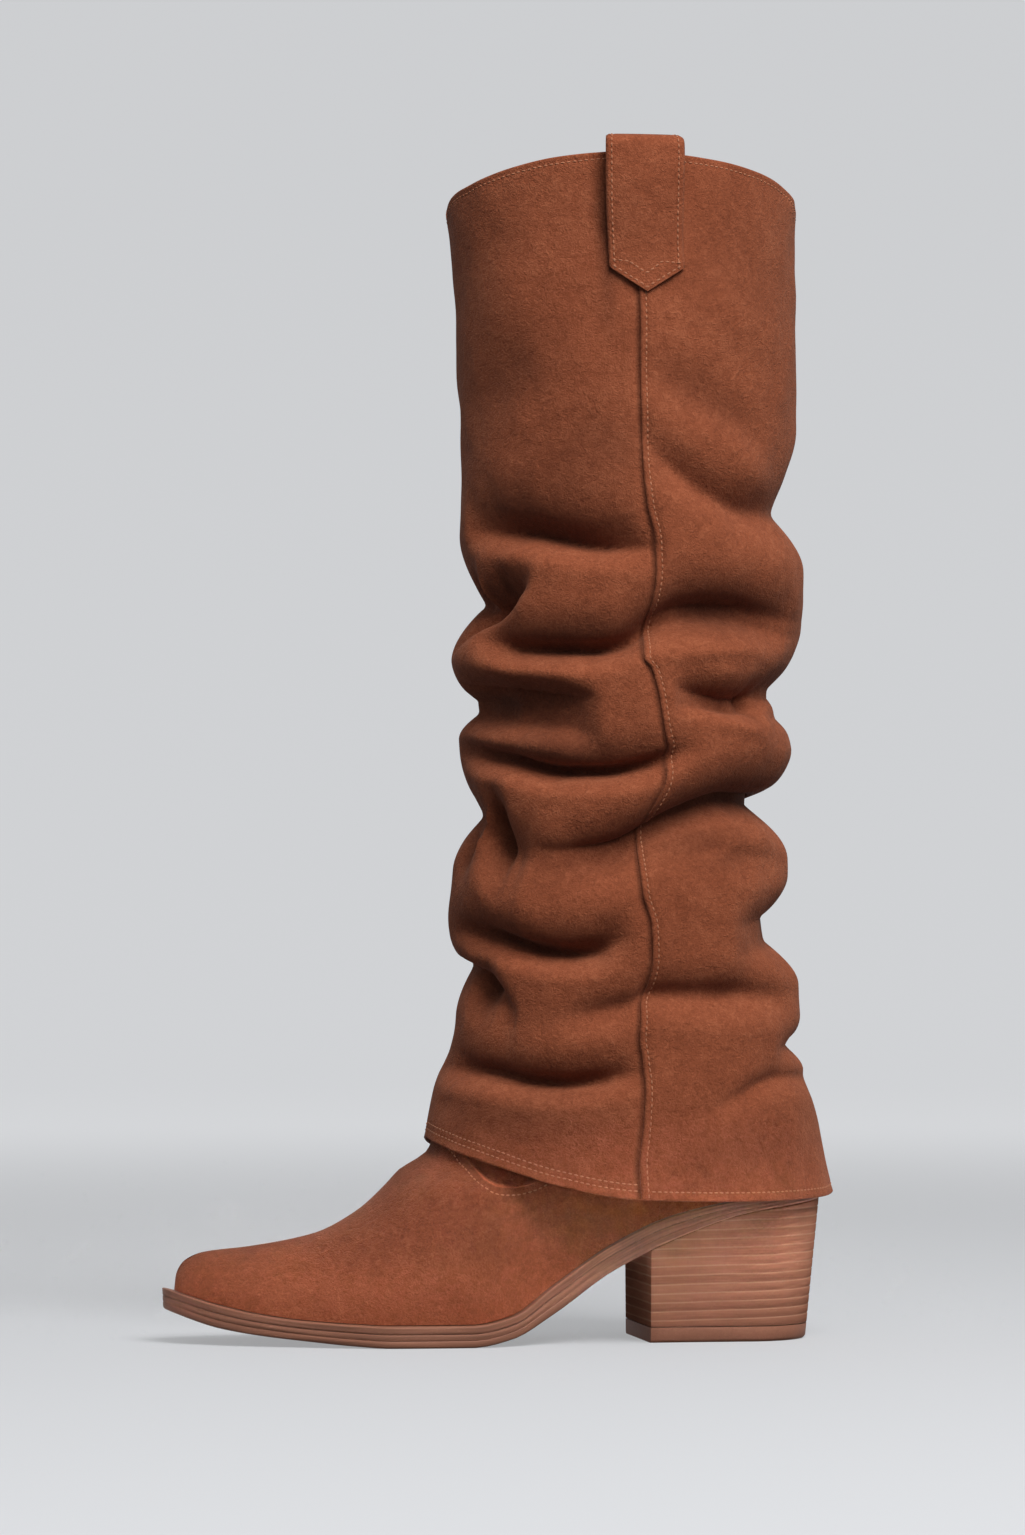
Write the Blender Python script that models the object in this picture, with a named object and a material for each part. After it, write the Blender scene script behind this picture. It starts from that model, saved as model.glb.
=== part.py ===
"""Tall slouch boot, left foot: a stacked block heel, a layered sole, a low upper and a gathered shaft.

The frame: +Z is up, the toe points to -X, the outer (lateral) side faces -Y, and the origin is on the floor
under the middle of the heel. Sizes are in millimetres and become metres where a mesh is made.
"""

import bpy
import bmesh
import numpy as np

MM = 0.001

# Driving sizes
TOE_X = -220.3            # front of the upper at the sole
HEEL_X = 37.2             # back of the upper at the sole
ANKLE_JOIN_Z = 185.0      # where the upper's top edge is sewn inside the shaft
UPPER_WALL = 2.3
SHAFT_WALL = 2.0
GAP = 0.35                # between pieces that lie on each other
WELT_REACH_TOE = 4.6      # how far the welt stands out past the upper
WELT_REACH_HEEL = 2.2
WELT_SHARE = 0.36         # the welt's share of the sole's edge
WAIST = (-100.0, -50.0)   # along x, the welt narrows here
INSOLE_THICK = 2.4
INSOLE_CLEAR = 0.9        # to the upper's wall, and more at the low toe and at the heel
INSOLE_TOE_CLEAR = 9.0
INSOLE_HEEL_CLEAR = 2.0
VAMP_STEP = 1.2           # the vamp's leather over the ankle piece behind it
VAMP_STEP_FADE = (-75.0, -45.0)   # along x, the step dies out here, under the shaft
VAMP_DIP_FADE = (-60.0, -20.0)
VAMP_LAP_SHARE = 0.12     # how far the vamp's leather reaches up behind its edge
HEEL_BREAST_X = -34.6
BREAST_MARGIN = 3.0       # no station of the sole is used nearer to the breast
HEEL_LIFT = 6.0           # the top piece that meets the floor
HEEL_LAYERS = 13
HEEL_LAYER = 3.55
HEEL_GROOVE = 0.35        # depth and height of the line between two layers
HEEL_GROOVE_HEIGHT = 0.5
HEEL_GROOVE_FADE = 1.5    # a line dies out where it comes this near the sole
HEEL_INSET = 0.9          # the heel seat inside the welt's edge
HEEL_LIFT_CHAMFER = 0.8
HEEL_TAPER = 0.925        # the tread's length and width against the heel seat's
HEEL_SEAT_Z = 54.0        # where the heel has its full length and width
LAYER_SQUEEZE = 0.05      # how close the layers come where the sole cuts across them
SEAM_STEP = 1.1           # the back panel laps over the front panel along both side seams
SEAM_RAMP = 10.0          # degrees over which the lap rises
SEAM_FADE = (30.0, 80.0)  # degrees behind the seam over which it dies out
STRAP_WIDTH = 28.4
STRAP_FORWARD = 1.1       # degrees from the side seam to the strap's middle
STRAP_THICK = 1.7
STRAP_TOP_Z = 475.9       # top of the pull loops
STRAP_CROWN_POWER = 0.4   # under 1 the loop is flat on top
STRAP_POINT_Z = 413.8     # tip of the pointed end
STRAP_POINT_RISE = 9.8    # from the tip to its shoulders
STRAP_INNER_END_Z = 428.0
STRAP_STAND_OFF = 4.2     # the strap's bow away from the shaft at the collar, outside and inside
STRAP_INNER_STAND_OFF = 2.2
STRAP_GAP = 0.5
STRAP_SPRING = 1.0        # the loop starts to bend over this far under the collar
STRAP_BOW_FROM = 0.25     # share of the way up where the strap starts to stand off
STRAP_TURNS = (15, 40, 65, 90, 115, 140, 165)

AROUND = 36               # points round the shaft and the upper
HALF = AROUND // 2


def table(names, rows):
    """The rows of a table as one array for each named column."""
    return dict(zip(names.split(), np.array(rows, float).T))


# The sole from toe to heel: the tread's and the welt's heights, the middle line, and the upper's half widths there
SOLE = table("x tread top centre lateral medial", [
    (-225.0, 13.5, 21.8, 5.5, 19.0, 19.0),
    (-205.0, 6.9, 15.8, 4.4, 21.8, 21.4),
    (-190.0, 4.4, 12.6, 3.2, 26.2, 25.6),
    (-172.0, 2.4, 10.2, 1.6, 31.6, 30.8),
    (-152.0, 0.6, 9.0, -0.4, 37.6, 37.2),
    (-140.0, 0.0, 8.6, -1.2, 40.6, 39.6),
    (-108.0, 0.0, 8.6, -2.8, 39.6, 36.6),
    (-92.0, 2.8, 11.6, -3.0, 35.0, 31.6),
    (-75.0, 11.8, 22.9, -2.6, 30.8, 27.6),
    (-50.0, 28.6, 39.2, -1.6, 28.4, 26.2),
    (-25.0, 40.9, 50.4, -0.6, 28.6, 27.6),
    (5.0, 51.2, 56.5, 0.0, 29.6, 29.4),
    (40.0, 56.4, 59.2, 0.0, 28.6, 28.6),
])
TOE_ROUND = 34.0          # how soon the toe reaches its full width
HEEL_ROUND = 27.0
# The side of the sole: how far each line stands out past the welt's reach, and its share of the way up
OUTSOLE_EDGE = table("out share", [
    (-1.6, 0.0), (-0.5, 0.10), (-0.2, 0.30), (-0.75, 0.34), (-0.2, 0.38), (-0.5, 1 - WELT_SHARE),
])
WELT_EDGE = table("out share", [(-0.3, 1 - WELT_SHARE), (0.0, 0.76), (0.0, 0.92), (-0.6, 1.0)])

# The upper's middle line over the toe, the instep and the front of the ankle, and up the back of the heel
INSTEP = table("x z", [
    (-220.3, 20.4), (-219.6, 26.4), (-216.6, 31.8), (-209.0, 35.4), (-190.0, 37.8), (-165.0, 42.9),
    (-148.0, 51.4), (-134.0, 63.2), (-124.2, 74.0), (-117.4, 81.8), (-107.0, 99.0), (-99.4, 124.0),
    (-96.4, 150.0), (-97.6, 166.0), (-107.0, 185.0),
])
HEEL_BACK = table("x z", [
    (37.2, 59.3), (38.4, 70.0), (35.0, 90.0), (26.0, 116.0), (17.0, 140.0), (12.4, 160.0), (14.0, 172.0),
    (23.0, 185.0),
])
ANKLE_DEPTH = table("z half", [(60, 30.0), (85, 32.5), (110, 35.0), (140, 38.0), (166, 41.0), (185, 49.0)])

# The upper's rows from the sole to the ankle: the share of the way along the instep and the heel lines, how much of
# the vamp edge's dip the row takes, and how much of the step from the vamp down to the ankle piece behind it
UPPER_ROWS = table("front back dip step", [
    (0.000, 0.000, 0.00, 0.0), (0.021, 0.050, 0.00, 0.0), (0.042, 0.090, 0.00, 0.0), (0.070, 0.130, 0.00, 0.0),
    (0.110, 0.170, 0.00, 0.0), (0.170, 0.210, 0.00, 0.0), (0.240, 0.250, 0.10, 0.0), (0.320, 0.290, 0.25, 0.0),
    (0.400, 0.330, 0.50, 0.0), (0.470, 0.370, 0.80, 0.0), (0.530, 0.400, 1.00, 0.0), (0.535, 0.410, 0.97, 1.0),
    (0.610, 0.480, 0.50, 1.0), (0.690, 0.580, 0.20, 0.6), (0.780, 0.690, 0.00, 0.2), (0.860, 0.800, 0.00, 0.0),
    (0.930, 0.900, 0.00, 0.0), (1.000, 1.000, 0.00, 0.0),
])
VAMP_EDGE_ROW = 10
# The vamp's upper edge, which dips in a scallop at the outer and the inner side
VAMP_EDGE = table("x z", [
    (-118, 80.0), (-110, 73.0), (-103, 65.6), (-94, 62.0), (-85, 63.2), (-77, 66.4), (-60, 76.0), (-30, 90.0),
])
SHAFT_CLEAR = 0.9         # between the upper and the shaft that hangs over it
HEM_COVER = (-14.0, -3.0) # heights against the hem between which the shaft starts to cover the upper
FOLD_REACH = (-5, 0, 5, 10)   # heights near a point where a fold may press on it
FOOT_TO_LEG = (62.0, 112.0)   # heights between which the foot's section becomes the leg's
CENTRE_FADE = (60.0, 120.0)   # heights between which the middle line straightens
HEEL_SHIFT = (-70.0, -10.0)   # along x, the plan follows the back of the heel from here on
ROUND_DEPTH = (4.0, 52.0)     # least and most height over which the instep rounds off

# The shaft's plain sections, before it is gathered
SHAFT = table("z front back half", [
    (56, -122.4, 45.4, 57.5), (70, -122.2, 43.2, 57.2), (82, -120.8, 40.9, 56.8), (97, -118.1, 37.2, 56.0),
    (107, -115.3, 33.6, 55.2), (116, -111.2, 31.6, 54.4), (133, -107.2, 31.8, 53.6), (150, -107.2, 30.0, 53.0),
    (166, -111.4, 28.4, 53.0), (190, -109.4, 27.8, 53.0), (212, -107.6, 28.6, 53.0), (235, -107.2, 29.8, 53.0),
    (270, -110.2, 31.6, 53.5), (297, -107.6, 33.6, 53.8), (320, -106.6, 31.8, 54.0), (350, -106.0, 29.4, 54.2),
    (376, -108.2, 30.4, 54.5), (410, -108.6, 31.0, 54.5), (452, -112.0, 31.4, 54.0), (475, -112.4, 31.4, 53.6),
])
# The hem and the collar round the leg; angles run from the front over the outer side (90) to the back (180)
HEM = table("angle z", [
    (0, 80.2), (30, 73.4), (55, 66.0), (90, 58.2), (125, 57.0), (155, 57.6), (180, 59.0),
    (205, 57.6), (235, 57.0), (270, 58.2), (305, 66.0), (330, 73.4), (360, 80.2),
])
COLLAR_SIDE_Z = 468.4
COLLAR_DIP = 16.6         # the collar is lower at the front and the back than at the side seams
COLLAR_POWER = 2.8
SHAFT_RINGS = np.concatenate([np.linspace(0.0, 0.11, 4)[:-1], np.linspace(0.11, 0.70, 33)[:-1],
                              np.linspace(0.70, 1.0, 6)])
RING_FLAT_FROM, RING_FLAT_TO = 0.10, 0.72   # between these shares of the height the rings lie level

# Each gathered fold is a trough that runs round part of the leg: its first and last angle, its height at the
# start, middle and end, its depth there, and its reach above and below the bottom of the trough
FOLDS = table("start end z0 z1 z2 depth0 depth1 depth2 above below", [
    (92, 216, 353, 331, 334, 2.0, 8.5, 4.0, 18, 12),        # back, under the calf
    (18, 92, 324, 317, 314, 3.0, 9.0, 3.0, 22, 10),         # outer front, highest
    (-50, 50, 291, 294.5, 304, 3.0, 11.0, 4.0, 18, 14),     # front pocket, high
    (26, 168, 278, 280.5, 288.5, 6.0, 9.5, 5.0, 17, 10),    # across the outer side
    (100, 236, 258, 258.5, 255, 3.5, 12.0, 4.0, 12, 13),    # back pinch, high
    (-55, 74, 249, 251.5, 253, 4.0, 8.5, 3.0, 13, 10),      # front pinch, middle
    (10, 104, 236, 228, 234, 4.0, 9.0, 4.0, 13, 10),        # outer front, middle
    (56, 238, 197, 219, 214, 2.0, 18.0, 5.0, 10, 19),       # the big lip at the back
    (-48, 46, 204, 207.5, 189, 4.0, 10.5, 4.0, 15, 10),     # front pocket, low
    (102, 152, 193, 193.5, 194, 1.0, 2.2, 1.0, 10, 10),     # shallow, outer back
    (8, 86, 166, 159, 160, 4.0, 8.5, 4.0, 13, 10),          # outer front, low
    (118, 236, 168, 165, 166, 2.0, 13.5, 4.0, 12, 13),      # back pinch, low
    (-45, 44, 146, 149.5, 136, 3.0, 7.0, 3.0, 10, 13),      # front of the ankle
    (60, 168, 131, 141, 140, 2.0, 5.5, 3.0, 10, 10),        # outer back, at the ankle
    (150, 216, 116, 116.5, 117, 1.0, 4.0, 2.0, 10, 10),     # back, above the hem
    (8, 86, 112, 109, 110, 3.5, 6.5, 3.0, 13, 10),          # outer front, above the hem
    (104, 166, 95, 100, 107, 1.0, 2.6, 1.5, 10, 10),        # crease at the back of the hem
    (200, 334, 322, 317, 326, 3.0, 8.0, 3.0, 20, 10),       # inner side, highest
    (196, 345, 285, 276, 282, 4.0, 9.0, 5.0, 16, 10),       # inner side, high
    (214, 350, 240, 231, 237, 4.0, 8.5, 4.0, 13, 10),       # inner side, middle
    (222, 330, 197, 188, 183, 2.0, 7.0, 3.0, 12, 10),       # inner side, under the lip
    (220, 348, 160, 156, 163, 3.0, 8.0, 4.0, 13, 10),       # inner side, low
    (196, 330, 137, 131, 127, 2.0, 5.0, 2.0, 10, 10),       # inner side, at the ankle
    (228, 352, 110, 107, 111, 3.0, 6.0, 3.0, 12, 10),       # inner side, above the hem
])
FOLD_FADE = 24.0          # degrees over which a fold dies out at its ends
FOLD_SAG = 0.28           # how far a ridge drops over the trough below it, against the trough's depth


def smooth(xs, ys, x):
    """A curve through the points that never overshoots them."""
    x = np.asarray(x, float)
    run = np.diff(xs)
    rise = np.diff(ys) / run
    slope = np.zeros(len(xs))
    same = rise[:-1] * rise[1:] > 0
    slope[1:-1][same] = 2 * rise[:-1][same] * rise[1:][same] / (rise[:-1] + rise[1:])[same]
    slope[0], slope[-1] = rise[0], rise[-1]
    i = np.clip(np.searchsorted(xs, x, "right") - 1, 0, len(xs) - 2)
    t = np.clip((x - xs[i]) / run[i], 0, 1)
    low = ys[i] * (1 + 2 * t) * (1 - t) ** 2 + ys[i + 1] * t * t * (3 - 2 * t)
    return low + run[i] * (slope[i] * t * (1 - t) ** 2 - slope[i + 1] * t * t * (1 - t))


def ease(a, b, x):
    """0 before a, 1 after b, and a smooth step between."""
    t = np.clip((x - a) / (b - a), 0, 1)
    return t * t * (3 - 2 * t)


def bulge(t):
    """0 at 0, 1 from 1 on, rising like a quarter circle."""
    return np.sqrt(np.clip(1 - (1 - np.clip(t, 0, 1)) ** 2, 0, 1))


def on_line(line, share):
    """The point at this share of the way along a profile line."""
    run = np.concatenate([[0], np.cumsum(np.hypot(np.diff(line["x"]), np.diff(line["z"])))])
    at = np.asarray(share) * run[-1]
    return smooth(run, line["x"], at), smooth(run, line["z"], at)


# Stations of the sole, close together at toe and heel, which the upper's lowest row shares
TURN = np.linspace(0, np.pi, HALF + 1)
STATION = TOE_X + (1 - np.cos(TURN)) / 2 * (HEEL_X - TOE_X)


def sole_height(column, x):
    """A sole surface's height, straight from one station to the next."""
    knots = np.concatenate([[SOLE["x"][0]], STATION, [SOLE["x"][-1]]])
    return np.interp(x, knots, smooth(SOLE["x"], SOLE[column], knots))


def foot_half_width(x, side):
    """The upper's half width at the sole."""
    full = smooth(SOLE["x"], SOLE[side], x)
    return full * bulge((x - TOE_X) / TOE_ROUND) * bulge((HEEL_X - x) / HEEL_ROUND)


def ring(lateral, medial):
    """One loop from the toe over the outer side to the heel and back: points are given toe to heel."""
    return np.concatenate([lateral, medial[-2:0:-1]])


def feather_line():
    """The plan of the upper's lower edge as a loop of x, y."""
    centre = smooth(SOLE["x"], SOLE["centre"], STATION)
    lateral = np.stack([STATION, centre - foot_half_width(STATION, "lateral")], 1)
    medial = np.stack([STATION, centre + foot_half_width(STATION, "medial")], 1)
    return ring(lateral, medial)


def grown(loop, reach):
    """A plan loop moved out by reach, a number or one for each point."""
    ahead = np.roll(loop, -1, 0) - np.roll(loop, 1, 0)
    out = np.stack([-ahead[:, 1], ahead[:, 0]], 1) * -1
    out /= np.linalg.norm(out, axis=1)[:, None]
    return loop + out * np.broadcast_to(reach, len(loop))[:, None]


def fold_shape(angle, z):
    """Inward depth and downward sag of the gathered leather at an angle and height of the plain shaft."""
    depth = np.zeros(np.broadcast(angle, z).shape)
    sag = np.zeros_like(depth)
    for i in range(len(FOLDS["start"])):
        f = {name: column[i] for name, column in FOLDS.items()}
        middle = (f["start"] + f["end"]) / 2
        a = (angle - middle + 180) % 360 - 180 + middle
        share = np.clip((a - f["start"]) / (f["end"] - f["start"]), 0, 1)
        line = smooth(np.array([0, 0.5, 1]), np.array([f["z0"], f["z1"], f["z2"]]), share)
        deep = smooth(np.array([0, 0.5, 1]), np.array([f["depth0"], f["depth1"], f["depth2"]]), share)
        deep = deep * ease(f["start"], f["start"] + FOLD_FADE, a) * (1 - ease(f["end"] - FOLD_FADE, f["end"], a))
        off = z - line
        reach = np.where(off > 0, f["above"], f["below"])
        depth += deep * (0.5 + 0.5 * np.cos(np.pi * np.clip(off / reach, -1, 1)))
        sag += FOLD_SAG * deep * np.exp(-((off - f["above"]) / f["above"]) ** 2)
    return depth, sag


def seam_step(angle):
    """The back panels stand a little proud of the front panel, fading out towards the back."""
    behind = np.minimum(angle - 90, 270 - angle)
    return SEAM_STEP * np.clip(behind / SEAM_RAMP, 0, 1) * (1 - ease(*SEAM_FADE, behind))


def shaft_heights(share, angle):
    """Height of a ring of the plain shaft, from the hem (0) to the collar (1)."""
    hem = smooth(HEM["angle"], HEM["z"], angle)
    drop = np.abs(np.cos(np.radians(angle))) ** COLLAR_POWER
    collar = COLLAR_SIDE_Z - COLLAR_DIP * drop
    low, high = HEM["z"].max(), COLLAR_SIDE_Z - COLLAR_DIP
    level = low + (high - low) * share
    level = level + (hem - low) * (1 - ease(0, RING_FLAT_FROM, share))
    return level + (collar - high) * ease(RING_FLAT_TO, 1, share)


def shaft_point(angle, z, inset=0.0):
    """A point of the shaft's outer face, or of a face that lies inset inside it."""
    depth, sag = fold_shape(angle, z)
    front, back, half = (smooth(SHAFT["z"], SHAFT[c], z) for c in ("front", "back", "half"))
    turn = np.radians(angle)
    inward = depth - seam_step(angle) + inset
    x = (front + back) / 2 - ((back - front) / 2 - inward) * np.cos(turn)
    y = -(half - inward) * np.sin(turn)
    return np.stack([x, y, z - sag], -1)


def shaft_grid(inset):
    share, angle = np.meshgrid(SHAFT_RINGS, np.arange(AROUND) * 360.0 / AROUND, indexing="ij")
    return shaft_point(angle, shaft_heights(share, angle), inset)


def join_ring():
    """The loop just inside the shaft's wall where the upper is sewn in, on one of the shaft's own rings."""
    level = shaft_heights(SHAFT_RINGS, 0.0)
    number = int(np.argmin(np.abs(level - ANKLE_JOIN_Z)))
    return shaft_grid(SHAFT_WALL + GAP)[number]


def upper_line(front, back):
    """One row of the upper in its long section, from the instep to the heel, before the vamp's edge bends it."""
    fx, fz = on_line(INSTEP, front)
    bx, bz = on_line(HEEL_BACK, back)
    s = (1 - np.cos(TURN)) / 2
    first = INSTEP["z"][0] + s * (HEEL_BACK["z"][0] - INSTEP["z"][0])
    bow = sole_height("top", STATION) + GAP - first
    return fx + s * (bx - fx), fz + s * (bz - fz) + bow * (1 - front) ** 2


def vamp_dip(x):
    """How far the vamp's edge lies under its row's plain line."""
    row_x, row_z = upper_line(UPPER_ROWS["front"][VAMP_EDGE_ROW], UPPER_ROWS["back"][VAMP_EDGE_ROW])
    dip = (row_z - smooth(VAMP_EDGE["x"], VAMP_EDGE["z"], row_x)) * (1 - ease(*VAMP_DIP_FADE, row_x))
    return np.interp(x, row_x, dip)


def upper_grids():
    """The upper's rows from the sole to the ankle join, for its outer and its inner face."""
    rows = []
    for front, back, dip, _ in zip(*UPPER_ROWS.values()):
        x, z = upper_line(front, back)
        z = z - dip * vamp_dip(x)
        sides = [np.stack([x, last_edge(x, z, side, sign), z], 1) for side, sign in (("lateral", -1), ("medial", 1))]
        loop = ring(*sides)
        loop[0, 1] = smooth(SOLE["x"], SOLE["centre"], x[0]) * (1 - ease(*CENTRE_FADE, z[0]))
        loop[HALF, 1] = 0
        rows.append(inside_shaft(loop))
    rows[-1] = join_ring()
    behind = [VAMP_STEP * step * (1 - ease(*VAMP_STEP_FADE, row[:, 0]))
              for row, step in zip(rows, UPPER_ROWS["step"])]
    outer = [pulled_in(row, by) for row, by in zip(rows, behind)]
    inner = inner_face(np.array(rows), UPPER_WALL)
    edge, next_row = inner[VAMP_EDGE_ROW], inner[VAMP_EDGE_ROW + 2]
    inner[VAMP_EDGE_ROW + 1] = edge + (next_row - edge) * VAMP_LAP_SHARE
    return np.array(outer), inner


def inside_shaft(loop):
    """The points of a loop that the shaft hangs over, kept clear of the shaft's inner face."""
    x, y, z = loop.T
    front, back, half = (smooth(SHAFT["z"], SHAFT[c], z) for c in ("front", "back", "half"))
    middle, long = (front + back) / 2, (back - front) / 2
    angle = np.degrees(np.arctan2(-y / half, (middle - x) / long)) % 360
    deepest = np.max([fold_shape(angle, z + near)[0] for near in FOLD_REACH], 0)
    lost = SHAFT_WALL + SHAFT_CLEAR + deepest
    over = np.hypot((x - middle) / (long - lost), y / (half - lost))
    covered = ease(*HEM_COVER, z - smooth(HEM["angle"], HEM["z"], angle))
    shrink = 1 + (1 / np.maximum(over, 1) - 1) * covered
    return np.stack([middle + (x - middle) * shrink, y * shrink, z], 1)


def last_edge(x, z, side, sign):
    """How far the foot's surface lies to one side of the middle line at a point of its long section."""
    floor = sole_height("top", x)
    over, top = INSTEP["x"][2:-3], INSTEP["z"][2:-3]
    roof = smooth(over, top, np.clip(x, over[0], over[-1]))
    roof = np.where(x < over[0], np.interp(x, INSTEP["x"][:3], INSTEP["z"][:3]), roof)
    closing = bulge(np.clip(roof - z, 0, None) / np.clip(roof - floor, *ROUND_DEPTH))
    closing = np.where(x > over[-1], 1, closing)
    behind = np.interp(z, HEEL_BACK["z"], HEEL_BACK["x"])
    shifted = x + (HEEL_X - behind) * ease(*HEEL_SHIFT, x)
    foot = foot_half_width(np.clip(shifted, TOE_X, HEEL_X), side) * closing
    ahead = np.interp(z, INSTEP["z"][9:], INSTEP["x"][9:])
    middle, half = (ahead + behind) / 2, (behind - ahead) / 2
    leg = smooth(ANKLE_DEPTH["z"], ANKLE_DEPTH["half"], z)
    leg = leg * np.sqrt(np.clip(1 - ((x - middle) / half) ** 2, 0, 1))
    wide = foot + (leg - foot) * ease(*FOOT_TO_LEG, z)
    centre = smooth(SOLE["x"], SOLE["centre"], x) * (1 - ease(*CENTRE_FADE, z))
    return centre + sign * wide


def pulled_in(loop, by):
    """A loop drawn in towards its own middle line."""
    plan = grown(loop[:, :2], -by)
    return np.concatenate([plan, loop[:, 2:]], 1)


def inner_face(rows, inset):
    """The rows moved in along the surface's normals, with the lowest and highest kept at their heights."""
    up = np.gradient(rows, axis=0)
    along = np.roll(rows, -1, 1) - np.roll(rows, 1, 1)
    normal = np.cross(along, up)
    normal /= np.linalg.norm(normal, axis=2)[:, :, None] + 1e-9
    moved = rows - normal * inset
    moved[0, :, 2] = rows[0, :, 2]
    moved[-1, :, 2] = rows[-1, :, 2]
    return moved


def material(name, colour, roughness):
    made = bpy.data.materials.new(name)
    made.use_nodes = True
    shader = made.node_tree.nodes["Principled BSDF"]
    shader.inputs["Base Color"].default_value = (*colour, 1)
    shader.inputs["Roughness"].default_value = roughness
    shader.inputs["Metallic"].default_value = 0
    return made


def add_solid(name, points, faces, finish, parent, smooth_angle=40.0):
    """One named object from points in millimetres, its faces turned outwards."""
    mesh = bpy.data.meshes.new(name)
    mesh.from_pydata([tuple(p) for p in np.asarray(points) * MM], [], faces)
    work = bmesh.new()
    work.from_mesh(mesh)
    bmesh.ops.triangulate(work, faces=work.faces)
    bmesh.ops.recalc_face_normals(work, faces=work.faces)
    work.to_mesh(mesh)
    work.free()
    mesh.shade_smooth()
    mesh.set_sharp_from_angle(angle=np.radians(smooth_angle))
    mesh.materials.append(finish)
    made = bpy.data.objects.new(name, mesh)
    made.parent = parent
    bpy.context.scene.collection.objects.link(made)
    return made


def band(rows, count):
    """Quads between rows of a closed loop, as point numbers."""
    return [(r * count + i, r * count + (i + 1) % count, (r + 1) * count + (i + 1) % count, (r + 1) * count + i)
            for r in range(rows - 1) for i in range(count)]


def shell(outer, inner):
    """Points and faces of a hollow wall that is open at both ends."""
    rows, count = outer.shape[:2]
    faces = band(rows, count)
    skip = rows * count
    faces += [tuple(skip + n for n in face[::-1]) for face in band(rows, count)]
    for row in (0, rows - 1):
        for i in range(count):
            a, b = row * count + i, row * count + (i + 1) % count
            faces.append((a, b, skip + b, skip + a) if row else (b, a, skip + a, skip + b))
    return np.concatenate([outer.reshape(-1, 3), inner.reshape(-1, 3)]), faces


def cap(count, first, tipped=True):
    """Faces across a loop, from the points of one side to those of the other."""
    half = count // 2
    faces = []
    for i in range(half):
        corners = [i, i + 1, count - i - 1, (count - i) % count] if tipped else [i, i + 1, count - i - 2, count - i - 1]
        kept = list(dict.fromkeys(first + c for c in corners))
        if len(kept) > 2:
            faces.append(tuple(kept))
    return faces


def stack(loops, tipped=True):
    """Points and faces of a solid from its loops, lowest first, closed across the first and the last."""
    loops = np.array(loops)
    rows, count = loops.shape[:2]
    faces = band(rows, count) + cap(count, 0, tipped) + cap(count, (rows - 1) * count, tipped)
    return loops.reshape(-1, 3), faces


def at_height(plan, height):
    return np.concatenate([plan, np.broadcast_to(height, len(plan))[:, None]], 1)


def sole_loop(reach, share):
    """A loop round the sole's edge: how far it stands out, and its share of the way up from tread to welt."""
    plan = grown(feather_line(), reach)
    low, high = sole_height("tread", plan[:, 0]), sole_height("top", plan[:, 0])
    return at_height(plan, low + (high - low) * share)


def welt_reach():
    """How far the welt stands out, wide round the forefoot and narrow at waist and heel."""
    x = feather_line()[:, 0]
    return WELT_REACH_TOE + (WELT_REACH_HEEL - WELT_REACH_TOE) * ease(*WAIST, x)


def make_outsole(finish, parent):
    reach, inner = welt_reach(), np.zeros(AROUND)
    drop = np.array([0, 0, -GAP])
    loops = [sole_loop(inner, 0.0)]
    for out, share in zip(*OUTSOLE_EDGE.values()):
        loops.append(sole_loop(reach + out, share))
    loops += [loops.pop() + drop, sole_loop(inner, 1 - WELT_SHARE) + drop]
    return add_solid("outsole", *stack(loops), finish, parent)


def make_welt(finish, parent):
    reach, inner = welt_reach(), np.zeros(AROUND)
    loops = [sole_loop(inner, 1 - WELT_SHARE)]
    for out, share in zip(*WELT_EDGE.values()):
        loops.append(sole_loop(reach + out, share))
    loops.append(sole_loop(inner, 1.0))
    return add_solid("welt", *stack(loops), finish, parent)


def make_insole(finish, parent):
    plan = grown(feather_line(), -(UPPER_WALL + INSOLE_CLEAR))
    plan[:, 0] = np.clip(plan[:, 0], TOE_X + INSOLE_TOE_CLEAR, HEEL_X - INSOLE_HEEL_CLEAR)
    low = at_height(plan, sole_height("top", plan[:, 0]) + GAP)
    high = low + np.array([0, 0, INSOLE_THICK])
    return add_solid("insole", *stack([low, high]), finish, parent)


def heel_plan():
    """Half of the heel seat's plan, from the breast to the middle of the back: x and half width."""
    reach = grown(feather_line(), welt_reach() - HEEL_INSET)
    outer = reach[: HALF + 1]
    x = outer[:, 0]
    kept = x > HEEL_BREAST_X + BREAST_MARGIN
    half = np.abs(outer[:, 1])
    breast = np.interp(HEEL_BREAST_X, x, half)
    return np.concatenate([[HEEL_BREAST_X], x[kept]]), np.concatenate([[breast], half[kept] * (x[kept] < x[-1])])


def heel_loop(x, half, level, fade, groove=0.0):
    """One loop of the heel at a share of its height, drawn in by its taper and by a groove."""
    shrink = HEEL_TAPER + (1 - HEEL_TAPER) * fade
    px = HEEL_BREAST_X + (x - HEEL_BREAST_X) * shrink
    py = half * shrink - groove * (half > 0)
    px = px - groove * (half == 0)
    lateral = np.stack([px, -py, level], 1)
    medial = np.stack([px, py, level], 1)
    return np.concatenate([lateral, medial[-2::-1]])


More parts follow.
